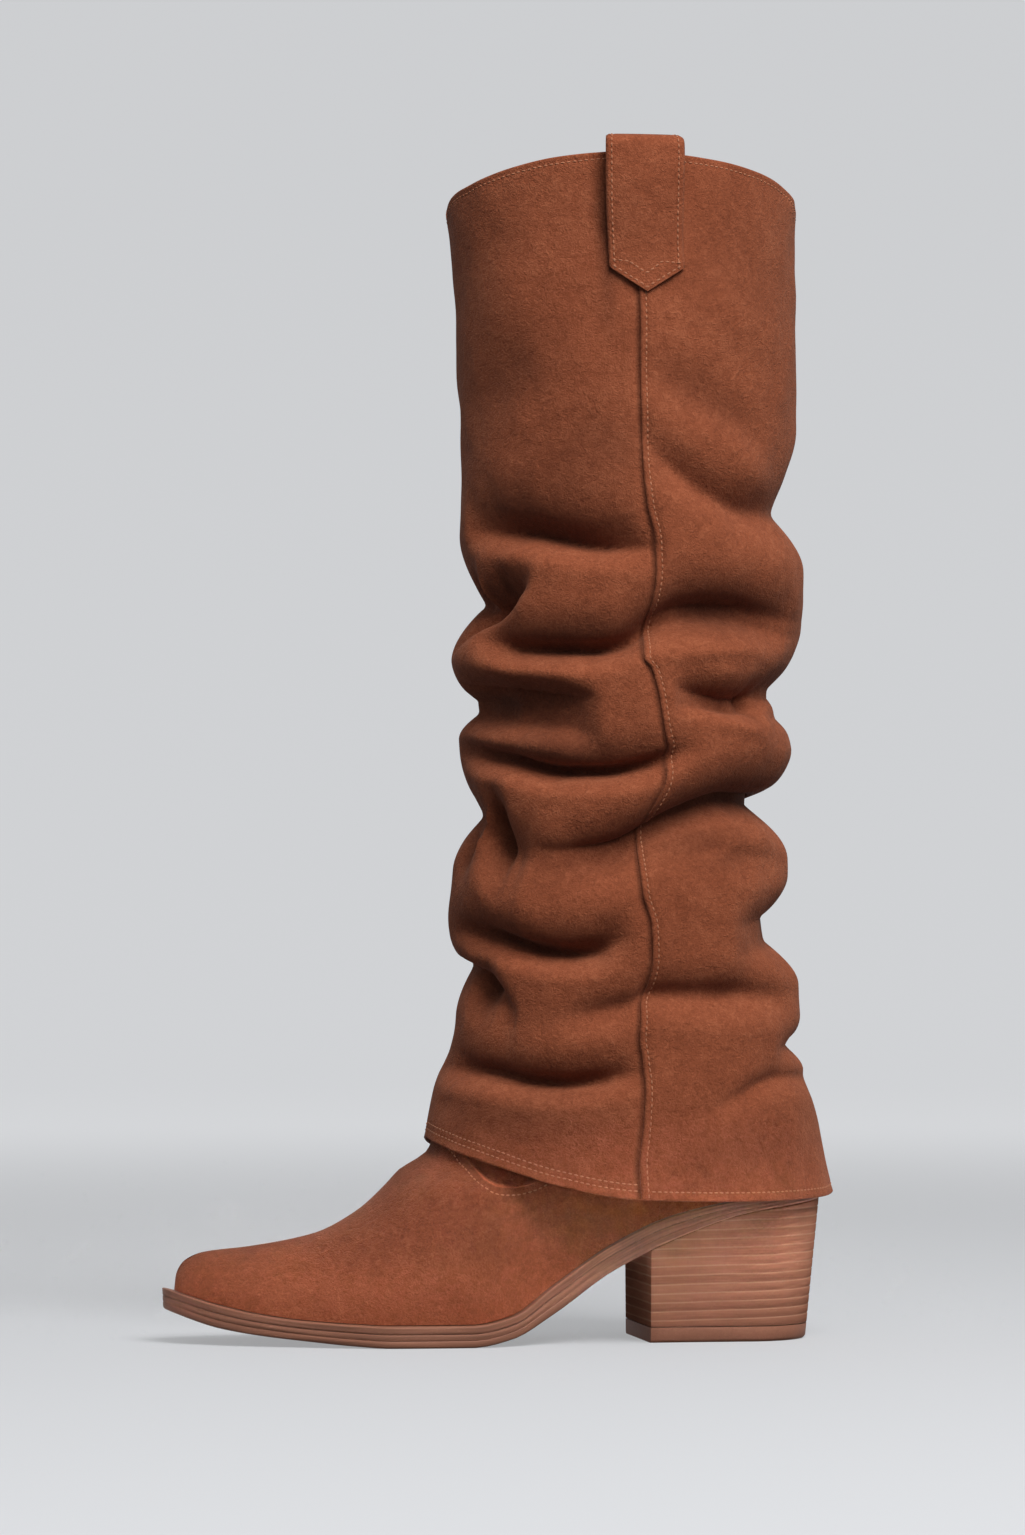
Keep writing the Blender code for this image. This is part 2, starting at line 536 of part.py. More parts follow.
def make_heel(finish, parent):
    x, half = heel_plan()
    tops = sole_height("tread", x) - GAP
    marks = [HEEL_LIFT + GAP]
    for layer in range(1, HEEL_LAYERS + 1):
        line = HEEL_LIFT + GAP + layer * HEEL_LAYER
        marks += [line - HEEL_GROOVE_HEIGHT, line]
    count = len(marks)
    loops = []
    for k, mark in enumerate(marks):
        limit = tops - (count - k) * LAYER_SQUEEZE
        level = np.minimum(mark, limit)
        groove = HEEL_GROOVE * ease(0.0, HEEL_GROOVE_FADE, limit - mark) if k % 2 == 0 and k else 0.0
        loops.append(heel_loop(x, half, level, level / HEEL_SEAT_Z, groove))
    loops.append(heel_loop(x, half, tops, tops / HEEL_SEAT_Z))
    return add_solid("heel_stack", *stack(loops, tipped=False), finish, parent, 25.0)


def make_heel_lift(finish, parent):
    x, half = heel_plan()
    loops = [heel_loop(x, half, np.full(len(x), z), 0.0, inset)
             for z, inset in ((0.0, HEEL_LIFT_CHAMFER), (HEEL_LIFT_CHAMFER, 0.0), (HEEL_LIFT, 0.0))]
    return add_solid("heel_lift", *stack(loops, tipped=False), finish, parent)


def make_upper(finish, parent):
    return add_solid("upper", *shell(*upper_grids()), finish, parent)


def make_shaft(finish, parent):
    return add_solid("shaft", *shell(shaft_grid(0), shaft_grid(SHAFT_WALL)), finish, parent, 60.0)


def strap_line(angle, across):
    """One lengthwise line of a pull strap's middle: from its point, up, over the collar and down inside."""
    collar = shaft_heights(np.array(1.0), np.array(angle))
    half = STRAP_THICK / 2
    low = STRAP_POINT_Z + STRAP_POINT_RISE * abs(across)
    crown = STRAP_TOP_Z - half
    spring = collar - STRAP_SPRING
    rows = []
    for t in np.linspace(0, 1, 6):
        z = low + (spring - low) * t
        rows.append((z, -(STRAP_GAP + half + STRAP_STAND_OFF * ease(STRAP_BOW_FROM, 1, t))))
    seated = SHAFT_WALL + STRAP_GAP + half
    outside, inside = rows[-1][1], seated + STRAP_INNER_STAND_OFF
    middle, reach = (outside + inside) / 2, (inside - outside) / 2
    for turn in np.radians(STRAP_TURNS):
        rows.append((spring + (crown - spring) * np.sin(turn) ** STRAP_CROWN_POWER, middle - reach * np.cos(turn)))
    for t in np.linspace(0, 1, 4):
        z = spring + (STRAP_INNER_END_Z - spring) * t
        rows.append((z, seated + STRAP_INNER_STAND_OFF * (1 - ease(0, 1, t))))
    return np.array([shaft_point(np.array(angle), np.array(min(z, collar)), inset) + (0, 0, max(z - collar, 0))
                     for z, inset in rows])


def make_strap(name, seam_angle, finish, parent):
    """A pull strap that straddles the collar over a side seam."""
    across = np.linspace(-1, 1, 7)
    reach = (SHAFT["back"][-1] - SHAFT["front"][-1]) / 2
    spread = np.degrees(np.arcsin(STRAP_WIDTH / 2 / reach))
    lines = np.array([strap_line(seam_angle + spread * a, a) for a in across])
    along = np.gradient(lines, axis=1)
    sideways = np.gradient(lines, axis=0)
    normal = np.cross(sideways, along)
    normal /= np.linalg.norm(normal, axis=2)[:, :, None]
    faces_of = [lines + normal * STRAP_THICK / 2, lines - normal * STRAP_THICK / 2]
    loops = np.concatenate([faces_of[0], faces_of[1][::-1]]).transpose(1, 0, 2)
    count = loops.shape[1]
    faces = band(len(loops), count)
    for row in (0, len(loops) - 1):
        first = row * count
        faces += [(first + i, first + i + 1, first + count - i - 2, first + count - i - 1)
                  for i in range(count // 2 - 1)]
    return add_solid(name, loops.reshape(-1, 3), faces, finish, parent)


def main():
    for old in list(bpy.data.objects):
        bpy.data.objects.remove(old)
    suede = material("brown_suede", (0.27, 0.085, 0.035), 0.95)
    wood = material("stacked_heel", (0.34, 0.15, 0.075), 0.55)
    edge = material("sole_edge", (0.32, 0.14, 0.07), 0.6)
    rubber = material("heel_rubber", (0.28, 0.12, 0.065), 0.7)
    lining = material("lining_leather", (0.48, 0.30, 0.18), 0.7)
    boot = bpy.data.objects.new("boot", None)
    bpy.context.scene.collection.objects.link(boot)
    make_outsole(edge, boot)
    make_welt(edge, boot)
    make_insole(lining, boot)
    make_heel(wood, boot)
    make_heel_lift(rubber, boot)
    make_upper(suede, boot)
    make_shaft(suede, boot)
    make_strap("pull_strap_outer", 90.0 - STRAP_FORWARD, suede, boot)
    make_strap("pull_strap_inner", 270.0 + STRAP_FORWARD, suede, boot)


main()
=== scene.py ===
"""Tall slouch boot for the left foot: its leather, sole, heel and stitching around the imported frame.

Sizes are in millimetres in the frame's own axes: the toe points to -X, the outer side of the foot faces -Y
and +Z is up. They become metres where a mesh is made. Angles round the leg run from the front (0) over the
outer side seam (90) to the back (180) and the inner side seam (270).
"""

import math
from collections import namedtuple

import bmesh
import bpy
import numpy as np
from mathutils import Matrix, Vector


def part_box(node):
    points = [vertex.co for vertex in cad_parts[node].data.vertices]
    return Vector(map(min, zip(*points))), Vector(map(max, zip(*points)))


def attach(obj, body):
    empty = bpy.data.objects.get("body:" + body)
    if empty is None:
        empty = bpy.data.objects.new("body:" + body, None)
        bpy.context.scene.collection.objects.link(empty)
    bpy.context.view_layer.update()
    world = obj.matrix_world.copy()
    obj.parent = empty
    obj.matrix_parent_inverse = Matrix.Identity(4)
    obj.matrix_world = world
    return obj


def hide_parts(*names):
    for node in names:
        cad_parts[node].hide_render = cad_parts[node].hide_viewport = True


bl_info = {
    "name": "Slouch Boot",
    "version": (1, 0, 0),
    "blender": (4, 5, 0),
    "location": "View3D > Sidebar > Boot",
    "description": "Dresses the frame of a tall suede slouch boot and sets a plain studio round it",
    "category": "Add Mesh",
}

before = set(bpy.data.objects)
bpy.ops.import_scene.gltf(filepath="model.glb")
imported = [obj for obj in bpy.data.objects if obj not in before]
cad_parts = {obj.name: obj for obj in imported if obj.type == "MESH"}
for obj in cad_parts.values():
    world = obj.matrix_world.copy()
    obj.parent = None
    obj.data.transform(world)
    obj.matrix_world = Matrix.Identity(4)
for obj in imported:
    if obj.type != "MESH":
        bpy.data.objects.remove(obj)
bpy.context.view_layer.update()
MM = 0.001
OUTER_SEAM = 90           # degrees round the leg
INNER_SEAM = 270


def side_of(node, end, axis):
    """One side of a CAD node's box in millimetres: end 0 is its lowest, axis 0 is X."""
    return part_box(node)[end][axis] / MM


def table(names, rows):
    """The rows of a table as one array for each named column."""
    return dict(zip(names.split(), np.array(rows, float).T))


# Driving sizes from the frame
TOE_X = side_of("upper", 0, 0)
COLLAR_SIDE_Z = side_of("shaft", 1, 2)
STRAP_TOP_Z = side_of("pull_strap_outer", 1, 2)
STRAP_POINT_Z = side_of("pull_strap_outer", 0, 2)
HEEL_BREAST_X = side_of("heel_stack", 0, 0)
LIFT_Z = side_of("heel_lift", 1, 2)
HEEL_X = 37.2             # back of the upper at the sole
GAP = 0.35                # between pieces that lie on each other

# The shaft's plain sections, before it is gathered
SHAFT = table("z front back half", [
    (56, -122.4, 44.6, 57.5), (70, -122.4, 41.6, 57.2), (82, -120.4, 39.2, 56.8),
    (97, -117.3, 35.6, 56.0), (107, -115.2, 33.2, 55.2), (116, -111.2, 31.6, 54.4),
    (130, -107.8, 31.2, 53.6), (150, -108.6, 29.2, 53.0), (166, -110.8, 27.4, 53.0),
    (187, -109.2, 25.6, 53.0), (212, -107.6, 26.0, 53.0), (235, -106.8, 28.0, 53.0),
    (270, -110.0, 30.8, 53.5), (290, -107.4, 33.3, 53.8), (320, -106.2, 31.4, 54.0),
    (350, -105.6, 29.2, 54.2), (384, -107.2, 29.6, 54.5), (413, -108.2, 29.4, 54.5),
    (435, -110.0, 29.0, 54.2), (452, -112.0, 29.8, 54.0), (475, -112.4, 29.8, 53.6),
])
HEM = table("angle z", [
    (0, 81.2), (14, 79.2), (30, 75.6), (48, 70.2), (66, 63.7), (90, 58.2), (125, 57.0), (155, 57.6),
    (180, 59.0), (205, 57.6), (235, 57.0), (270, 58.2), (294, 63.7), (312, 70.2), (330, 75.6),
    (346, 79.2), (360, 81.2),
])
# How far the collar lies under its height at the side seams
COLLAR = table("angle drop", [
    (-9, 20.6), (0, 16.8), (7, 13.4), (22, 10.4), (45, 4.9), (62, 1.7), (76, 0.2), (90, -0.6), (115, 1.6),
    (134, 5.0), (148, 8.8), (163, 13.8), (173, 17.0), (180, 19.0), (189, 20.4), (200, 13.6), (212, 9.5),
    (232, 4.8), (252, 1.2), (270, 0.0), (290, 1.6), (312, 5.6), (334, 10.9), (344, 14.0), (351, 19.9),
])

# Each gathered fold is a trough along the leather: its line as angle, height and depth, its reach above and
# below, half the height of its flat bottom, how far the leather above it rolls into a lip (0 is a long slope)
# and the leather below it into a shoulder, and how far the roll above it droops
Fold = namedtuple("Fold", "line above below flat lip shoulder droop")
OUTER_FOLDS = (
    # back, under the calf
    Fold([(112, 331, 0), (130, 330, 3), (146, 329.5, 7.5), (160, 330, 10.5), (173, 330, 11),
          (190, 331, 10), (206, 333, 5), (224, 336, 0)], 33, 21, 0.5, 0.0, 0.0, 0.0),
    # its tail towards the seam
    Fold([(84, 362, 0), (92, 350, 3.2), (101, 342, 5), (112, 334.5, 6), (130, 328.5, 5.5),
          (143, 328, 2.6), (154, 328.5, 0)], 14, 16, 0.0, 0.0, 0.0, 0.0),
    # front, under the calf
    Fold([(8, 323, 0), (20, 321.5, 8), (30, 320.5, 13), (40, 319.5, 16), (54, 317, 16.5), (70, 314, 13.5),
          (84, 313.5, 6), (94, 315, 0)], 30, 10, 0.5, 0.4, 0.55, 0.25),
    # front pocket, high
    Fold([(-54, 291, 0), (-30, 292, 8), (-8, 293, 11.8), (8, 292, 10.5), (20, 291, 7), (32, 292, 3),
          (42, 294, 0)], 28, 21, 0.5, 0.1, 0.45, 0.1),
    # the edge under it, up towards the seam
    Fold([(-9, 274, 0), (0, 278, 2.5), (12, 283.5, 8), (24, 289, 11.5), (33, 294, 11.5), (39, 297.5, 8),
          (43, 300, 3.5), (47, 302, 0)], 15, 4.5, 1.0, 0.5, 0.9, 0.0),
    # outer front, high
    Fold([(16, 281, 0), (30, 276, 7), (40, 274, 13), (56, 273.5, 16), (70, 273, 15.5), (82, 275, 11),
          (90, 281, 5), (98, 286, 0)], 21, 10, 0.5, 0.35, 0.5, 0.3),
    # outer back, high
    Fold([(76, 280, 0), (88, 284.5, 8), (97, 287.8, 13), (112, 290, 16), (124, 289.5, 15.5),
          (138, 287, 11.5), (156, 285, 5.5), (182, 284, 0)], 21, 14, 2.5, 0.4, 0.1, 0.2),
    # back pinch, high
    Fold([(118, 258, 0), (132, 258, 3), (142, 258, 7.5), (152, 258, 11.5), (173, 258, 12.5),
          (190, 257, 11.5), (210, 256, 7), (238, 255, 0)], 25, 14, 1.5, 0.1, 0.2, 0.1),
    # its pocket towards the seam
    Fold([(98, 255.5, 0), (104, 255, 5), (112, 253.8, 9), (122, 252.6, 10.5), (132, 252.4, 10),
          (142, 254, 5.5), (152, 257, 0)], 10, 6.5, 3.0, 0.5, 0.7, 0.1),
    # its lower half, at the very back
    Fold([(138, 247, 0), (152, 247.5, 3.5), (173, 248, 5.5), (192, 248, 5), (214, 247, 0)],
         9, 14, 0.0, 0.0, 0.0, 0.0),
    # front pinch, middle
    Fold([(-62, 252, 0), (-35, 252.6, 6.5), (-8, 253, 10), (6, 253, 9), (18, 252.5, 5.5), (34, 251, 0)],
         17, 10, 2.5, 0.4, 0.2, 0.15),
    # its pocket towards the seam, under a lip
    Fold([(0, 257, 0), (10, 256.3, 5), (20, 255.5, 10), (30, 254.6, 13), (42, 253.4, 14.5),
          (54, 252, 13.5), (62, 250.5, 10), (68, 249.5, 5), (74, 249, 0)], 7, 8, 6.0, 1.0, 0.1, 0.12),
    # outer front, middle
    Fold([(-8, 236, 0), (6, 235, 5.5), (20, 233, 11), (36, 230.5, 14), (48, 227.5, 15.5), (58, 226, 16),
          (75, 226, 15), (90, 228.5, 11), (98, 231, 6), (108, 235, 0)], 16, 9, 1.0, 0.4, 0.5, 0.3),
    # the big lip at the back
    Fold([(46, 191, 0), (56, 192, 4.5), (68, 195, 9.5), (79, 198.5, 12.5), (88, 203.5, 14),
          (96, 208.5, 15), (107, 213.5, 16), (120, 218, 17), (131, 219.8, 18), (143, 220, 18.5),
          (156, 219.8, 18.5), (173, 219.8, 18), (190, 218, 15), (210, 214, 9), (236, 212, 0)],
         11, 22, 5.0, 0.9, 0.0, 0.4),
    # front pocket, low
    Fold([(-52, 209, 0), (-30, 209, 8), (-8, 209.3, 11), (10, 207.5, 9.5), (22, 202, 7.5), (33, 196, 7.5),
          (42, 192, 6.5), (50, 192, 2.5), (58, 194, 0)], 28, 20, 0.5, 0.0, 0.1, 0.1),
    # shallow, outer back
    Fold([(98, 191, 0), (107, 192, 2), (119, 195, 3.4), (133, 193, 3.4), (150, 192, 1.5), (166, 192, 0)],
         12, 14, 0.0, 0.0, 0.0, 0.1),
    # outer front, low
    Fold([(-6, 164, 0), (10, 163.3, 6), (20, 162.2, 11), (30, 160.6, 14), (40, 157.8, 15.5),
          (48, 155.5, 15.5), (62, 154, 14.5), (72, 155, 11), (79, 158, 5), (86, 161, 0)],
         20, 10, 0.8, 0.4, 0.45, 0.3),
    # back pinch, low
    Fold([(122, 160, 0), (130, 160.5, 3), (140, 162, 6), (150, 163, 9), (160, 164, 11.5),
          (173, 164.3, 12), (190, 164, 11), (210, 164, 6.5), (236, 165, 0)], 15, 17, 5.0, 0.2, 0.1, 0.1),
    # front of the ankle
    Fold([(-47, 150, 0), (-25, 150, 5.5), (-8, 149.8, 7.8), (8, 148.6, 7.5), (18, 146, 7),
          (26, 142.5, 6.5), (33, 139, 5.5), (38, 134.5, 3), (43, 130, 0)], 11, 20, 0.5, 0.8, 0.0, 0.2),
    # outer front, at the ankle
    Fold([(58, 129, 0), (68, 130.5, 3), (79, 133, 5), (88, 137, 5), (98, 139, 2), (106, 139, 0)],
         14, 11, 0.0, 0.0, 0.1, 0.2),
    # outer back, at the ankle
    Fold([(84, 138, 0), (94, 137.5, 4.5), (107, 138, 7.5), (122, 138, 8), (138, 137.5, 6),
          (150, 137, 2.5), (162, 137, 0)], 15, 14, 0.5, 0.0, 0.0, 0.2),
    # back, above the hem
    Fold([(140, 115, 0), (152, 116.5, 3.5), (170, 118, 7.2), (190, 117.5, 6), (212, 117, 0)],
         11, 10, 0.0, 0.3, 0.0, 0.1),
    # outer front, above the hem
    Fold([(-14, 109, 0), (6, 108.8, 5), (18, 108.2, 9.5), (30, 107.2, 12.5), (40, 105.8, 13.5),
          (50, 103.8, 13.5), (62, 103, 12.5), (74, 104, 10), (83, 106, 5), (92, 108, 0)],
         18, 9, 0.8, 0.4, 0.45, 0.3),
    # crease at the back of the hem
    Fold([(104, 90, 0), (112, 93, 1.2), (120, 97.5, 2.4), (131, 102.5, 3.6), (143, 105, 4),
          (158, 105, 3.4), (172, 104.5, 1.6), (186, 104, 0)], 9, 10, 0.0, 0.4, 0.2, 0.2),
)
INNER_FOLDS = (
    Fold([(202, 323, 0), (222, 321, 4), (262, 316, 9), (308, 321, 4), (334, 326, 0)],
         28, 12, 0.0, 0.2, 0.4, 0.2),
    Fold([(196, 286, 0), (218, 283, 5), (262, 275, 9.5), (318, 279, 6), (346, 283, 0)],
         22, 11, 0.0, 0.2, 0.4, 0.2),
    Fold([(214, 241, 0), (236, 238, 5), (276, 230, 9), (324, 235, 5), (352, 238, 0)],
         18, 10, 0.0, 0.2, 0.4, 0.2),
    Fold([(222, 198, 0), (240, 195, 3), (272, 188, 7.5), (308, 185, 4), (330, 182, 0)],
         15, 12, 0.0, 0.2, 0.3, 0.2),
    Fold([(220, 161, 0), (240, 159, 4), (280, 155, 8.5), (324, 160, 5), (350, 164, 0)],
         20, 10, 0.0, 0.2, 0.4, 0.2),
    Fold([(196, 138, 0), (222, 136, 3), (262, 130, 5.5), (306, 128, 3), (330, 126, 0)],
         13, 11, 0.0, 0.1, 0.3, 0.2),
    Fold([(228, 111, 0), (250, 109, 4), (288, 106, 6.5), (330, 109, 4), (352, 112, 0)],
         17, 10, 0.0, 0.2, 0.4, 0.2),
)
FOLDS = OUTER_FOLDS + INNER_FOLDS
# Dents (depth above 0) and small ridges (under 0), each a soft oval: its middle, half its size along and
# across the leg, how far it leans, and how dark its painted shade is (depth 0: painted shade alone)
DENTS = table("angle z tall wide lean depth shade", [
    (18, 297, 10, 1.5, 3, -2.2, 0),       # spine between the two high front pockets
    (29, 300, 7, 5, -12, 3.6, 0.9),
    (9, 299, 9, 5, 0, 3.0, 0.8),
    (22, 297, 9, 18, 27, 0, 0.75),
    (19, 204, 11, 1.8, -20, -2.6, 0),     # spine between the two low front pockets
    (30, 201, 15, 7, 13, 12, 1.0),
    (37, 197, 14, 2.2, 3, -2.4, 0),
    (9, 194, 9, 7, 0, 5, 0.9),
    (22, 141, 9, 8, -30, 7.5, 0.85),      # pocket at the front of the ankle
    (136, 254, 8, 4, 12, 4, 0.5),         # pocket at the back pinch
    (118, 247, 2.6, 20, -22, -1.2, 0),    # crest under it
    (109, 271.5, 2.2, 15, 8, -0.9, 0),    # crest behind the seam
    (34, 379, 13, 22, 28, 3.2, 0.4),      # soft hollows and rolls under the knee
    (68, 352, 16, 22, 10, 1.0, 0.4),
    (112, 371, 9, 26, -29, 3.0, 0.35),
    (124, 350, 9, 24, -29, -2.4, 0),
    (132, 400, 11, 30, -16, -1.4, 0),
    (40, 415, 16, 20, 24, -1.2, 0),
    (62, 430, 20, 14, -30, 0.9, 0),
    (70, 180, 9, 16, -12, -1.4, 0),       # shoulders of the folds on the outer side
    (60, 120, 7, 16, 8, -0.8, 0),
    (118, 172, 9, 20, 6, -0.8, 0),
    (120, 78, 12, 24, 0, -0.6, 0),
    (14, 94, 6, 14, 0, 1.0, 0),           # near the front of the hem
    (76.4, 438, 30, 3, 0, 0, 0.8),        # painted shadow of the strap, beside it
    (128, 424, 26, 26, 0, 0, 0.2),        # painted shade over the folds, where it spreads widest
    (38, 331, 8, 25, -5, 0, 0.5),
    (118, 289.5, 9, 34, 0, 0, 0.85),
    (57, 282, 8, 28, 7, 0, 0.8),
    (26, 254, 7, 30, -4, 0, 0.95),
    (54, 237, 8, 36, 0, 0, 0.75),
    (74, 199, 5, 22, 14, 0, 0.7),
    (110, 209, 6, 26, 18, 0, 0.7),
    (112, 199, 9, 26, 8, 0, 0.45),
    (128, 193, 5, 22, 10, 0, 0.4),
    (40, 163, 6, 30, -10, 0, 0.75),
    (76, 135, 4, 22, 12, 0, 0.5),
    (38, 110, 6, 30, -8, 0, 0.7),
    (50, 89, 11, 30, -4, 0, 0.45),
    (122, 78, 18, 36, 0, 0, 0.2),
])
# The side seam wanders between the folds: degrees behind its plain place
SEAM_DRIFT = table("z behind", [
    (56, -3.0), (72, -2.6), (89, -1.2), (104, -0.5), (112, -1.6), (124, -3.9), (133, -3.6), (141, -0.9),
    (153, 1.6), (165, 2.4), (178, -0.2), (194, -1.1), (207, -1.2), (213, 1.6), (225, 7.0), (235, 7.2),
    (245, 4.8), (257, 3.1), (266, 0.9), (270, -1.6), (278, -1.7), (287, -1.8), (296, -0.6), (307, 0.3),
    (315, 0.3), (331, -2.1), (350, -3.4), (370, -3.7), (409, -3.4), (480, -3.4),
])
SEAM_REACH = 34.0         # degrees on each side over which the leather follows the seam
INNER_SEAM_SHARE = 0.6    # the inner seam wanders less

# The sole from toe to heel: the tread's and the welt's heights, the middle line, and the upper's half widths
SOLE = table("x tread top centre lateral medial", [
    (-225.0, 13.5, 21.8, 5.5, 19.0, 19.0),
    (-205.0, 6.9, 15.8, 4.4, 21.8, 21.4),
    (-190.0, 4.4, 12.6, 3.2, 26.2, 25.6),
    (-172.0, 2.4, 10.2, 1.6, 31.6, 30.8),
    (-152.0, 0.6, 9.0, -0.4, 37.6, 37.2),
    (-140.0, 0.0, 8.6, -1.2, 40.6, 39.6),
    (-108.0, 0.0, 8.6, -2.8, 39.6, 36.6),
    (-92.0, 2.8, 11.6, -3.0, 35.0, 31.6),
    (-75.0, 11.8, 22.9, -2.6, 30.8, 27.6),
    (-50.0, 28.6, 39.2, -1.6, 28.4, 26.2),
    (-25.0, 40.9, 50.4, -0.6, 28.6, 27.6),
    (5.0, 51.2, 56.5, 0.0, 29.6, 29.4),
    (40.0, 56.4, 59.2, 0.0, 28.6, 28.6),
])
TOE_ROUND = 34.0          # how soon the toe reaches its full width
HEEL_ROUND = 27.0
WAIST = (-100.0, -50.0)   # along x, the welt narrows here
# The side of the sole: how far each line stands out past the welt's reach, and its share of the way up
OUTSOLE_EDGE = table("out share", [
    (-2.2, 0.0), (-1.0, 0.014), (-0.45, 0.05), (-0.25, 0.12), (-0.2, 0.22), (-0.2, 0.31), (-0.3, 0.328),
    (-0.38, 0.34), (-0.3, 0.352), (-0.15, 0.372), (-0.1, 0.48), (-0.1, 0.60), (-0.22, 0.624), (-0.5, 0.632),
])
WELT_EDGE = table("out share", [
    (-0.5, 0.640), (-0.2, 0.648), (-0.05, 0.665), (0.0, 0.74), (0.05, 0.86), (0.1, 0.93), (0.0, 0.965),
    (-0.35, 0.99), (-0.9, 1.0),
])

# The upper's middle line over the toe, the instep and the front of the ankle, and up the back of the heel
INSTEP = table("x z", [
    (-220.3, 20.4), (-219.6, 26.4), (-216.6, 31.8), (-209.0, 35.4), (-190.0, 37.8), (-165.0, 42.8),
    (-148.4, 51.4), (-135.2, 63.4), (-126.6, 74.0), (-120.2, 82.2), (-107.0, 99.0), (-99.4, 124.0),
    (-96.4, 150.0), (-97.6, 166.0), (-107.0, 185.0),
])
HEEL_BACK = table("x z", [
    (37.2, 59.3), (38.4, 70.0), (35.0, 90.0), (26.0, 116.0), (17.0, 140.0), (12.4, 160.0), (14.0, 172.0),
    (23.0, 185.0),
])
ANKLE_DEPTH = table("z half", [(60, 30.0), (85, 32.5), (110, 35.0), (140, 38.0), (166, 41.0), (185, 49.0)])
# The upper's rows from the sole to the ankle: the share of the way along the instep and the heel lines, how
# much of the vamp edge's dip the row takes, and how much of the step down to the ankle piece behind the vamp
UPPER_ROWS = table("front back dip step", [
    (0.000, 0.000, 0.00, 0.0), (0.021, 0.050, 0.00, 0.0), (0.042, 0.090, 0.00, 0.0),
    (0.070, 0.130, 0.00, 0.0), (0.110, 0.170, 0.00, 0.0), (0.170, 0.210, 0.00, 0.0),
    (0.240, 0.250, 0.10, 0.0), (0.320, 0.290, 0.25, 0.0), (0.400, 0.330, 0.50, 0.0),
    (0.470, 0.370, 0.80, 0.0), (0.530, 0.400, 1.00, 0.0), (0.535, 0.410, 0.97, 1.0),
    (0.610, 0.480, 0.50, 1.0), (0.690, 0.580, 0.20, 0.6), (0.780, 0.690, 0.00, 0.2),
    (0.860, 0.800, 0.00, 0.0), (0.930, 0.900, 0.00, 0.0), (1.000, 1.000, 0.00, 0.0),
])
VAMP_EDGE_ROW = 10
VAMP_EDGE = table("x z", [
    (-120, 82.0), (-116.5, 79.5), (-114.5, 76), (-112.5, 71.5), (-110, 68), (-105, 64.6), (-98, 62.7),
    (-91, 62.3), (-83, 63.8), (-77, 66.6), (-60, 76.0), (-30, 90.0),
])
VAMP_DIP_FADE = (-60.0, -20.0)
VAMP_STEP_FADE = (-75.0, -45.0)
RIDGE_ROUND = 0.12        # the height over which the instep's ridge is left flat
RIDGE_REACH = 4           # columns over which the instep's ridge is rounded for the lining under it
LINING_DIP = (7.0, 9.5)   # rows over which the lining dips under the vamp's edge
VAMP_PAINTED_SHADE = 0.45         # painted shade on top of the vamp: how dark it is, and where it rises and ends
VAMP_PAINTED_SHADE_RISE = (20.0, 40.0)
VAMP_PAINTED_SHADE_END = (-104.0, -78.0)
CUT_EDGE_TONE_AND_HIGHLIGHT = -0.6           # the vamp's cut edge painted paler than its nap: partly its own tone, partly a painted highlight
VAMP_STEP_FROM = (-117.0, -114.0)     # in front of this the vamp's edge lies under the shaft
HEM_COVER = (-14.0, -3.0)     # heights against the hem between which the shaft starts to cover the upper
FOLD_REACH = (-8, -4, 0, 4, 8, 12)    # heights near a point where a fold may press on it
FOOT_TO_LEG = (62.0, 112.0)   # heights between which the foot's section becomes the leg's
CENTRE_FADE = (60.0, 120.0)   # heights between which the middle line straightens
HEEL_SHIFT = (-70.0, -10.0)   # along x, the plan follows the back of the heel from here on
ROUND_DEPTH = (4.0, 52.0)     # least and most height over which the instep rounds off
ANKLE_JOIN_Z = 185.0          # where the upper's top edge is sewn inside the shaft
COUNTER_END = (1.0, 4.0)      # heights against the hem between which the counter ends under the shaft

HEEL_SEAT_Z = 54.0        # where the heel has its full length and width
HEEL_TAPER = 0.925        # the tread's length and width against the heel seat's
HEEL_INSET = 0.9          # the heel seat inside the welt's edge
COUNTER_SHARE = 0.7315    # share of the way from toe to heel where the counter's front edge stands


def colour_setting(name, description, default):
    """A colour among the settings."""
    return bpy.props.FloatVectorProperty(
        name=name, description=description, subtype="COLOR", size=3, min=0, max=1, default=default)


def length_setting(name, description, millimetres):
    """A length among the settings."""
    return bpy.props.FloatProperty(
        name=name, description=description, default=millimetres * MM, unit="LENGTH")


class BootLeather(bpy.types.PropertyGroup):
    """Colours and nap of the leathers and threads."""
    suede: colour_setting("Suede", "Colour of the brushed suede", (0.272, 0.072, 0.030))
    suede_dark: colour_setting(
        "Suede shade", "Colour where the nap lies the other way", (0.195, 0.048, 0.019))
    suede_light: colour_setting("Suede rub", "Colour of the raised fibres", (0.360, 0.108, 0.049))
    thread: colour_setting("Thread", "Colour of the stitching", (0.43, 0.176, 0.094))
    lining: colour_setting("Lining", "Colour of the lining leather", (0.42, 0.24, 0.14))
    nap_scale: bpy.props.FloatProperty(
        name="Nap scale", description="How fine the nap is, in fibres for each metre", default=760.0, min=50)
    # painted shade: how much darker the suede's colour is made in the folds, dents, by the seams and on the
    # vamp
    painted_shade_strength: bpy.props.FloatProperty(
        name="Fold shade", description="How much darker the pressed nap is in the folds",
        default=0.68, min=0, max=1)
    sheen: bpy.props.FloatProperty(
        name="Sheen", description="Soft glow of the fibres at grazing angles", default=0.10, min=0, max=1)


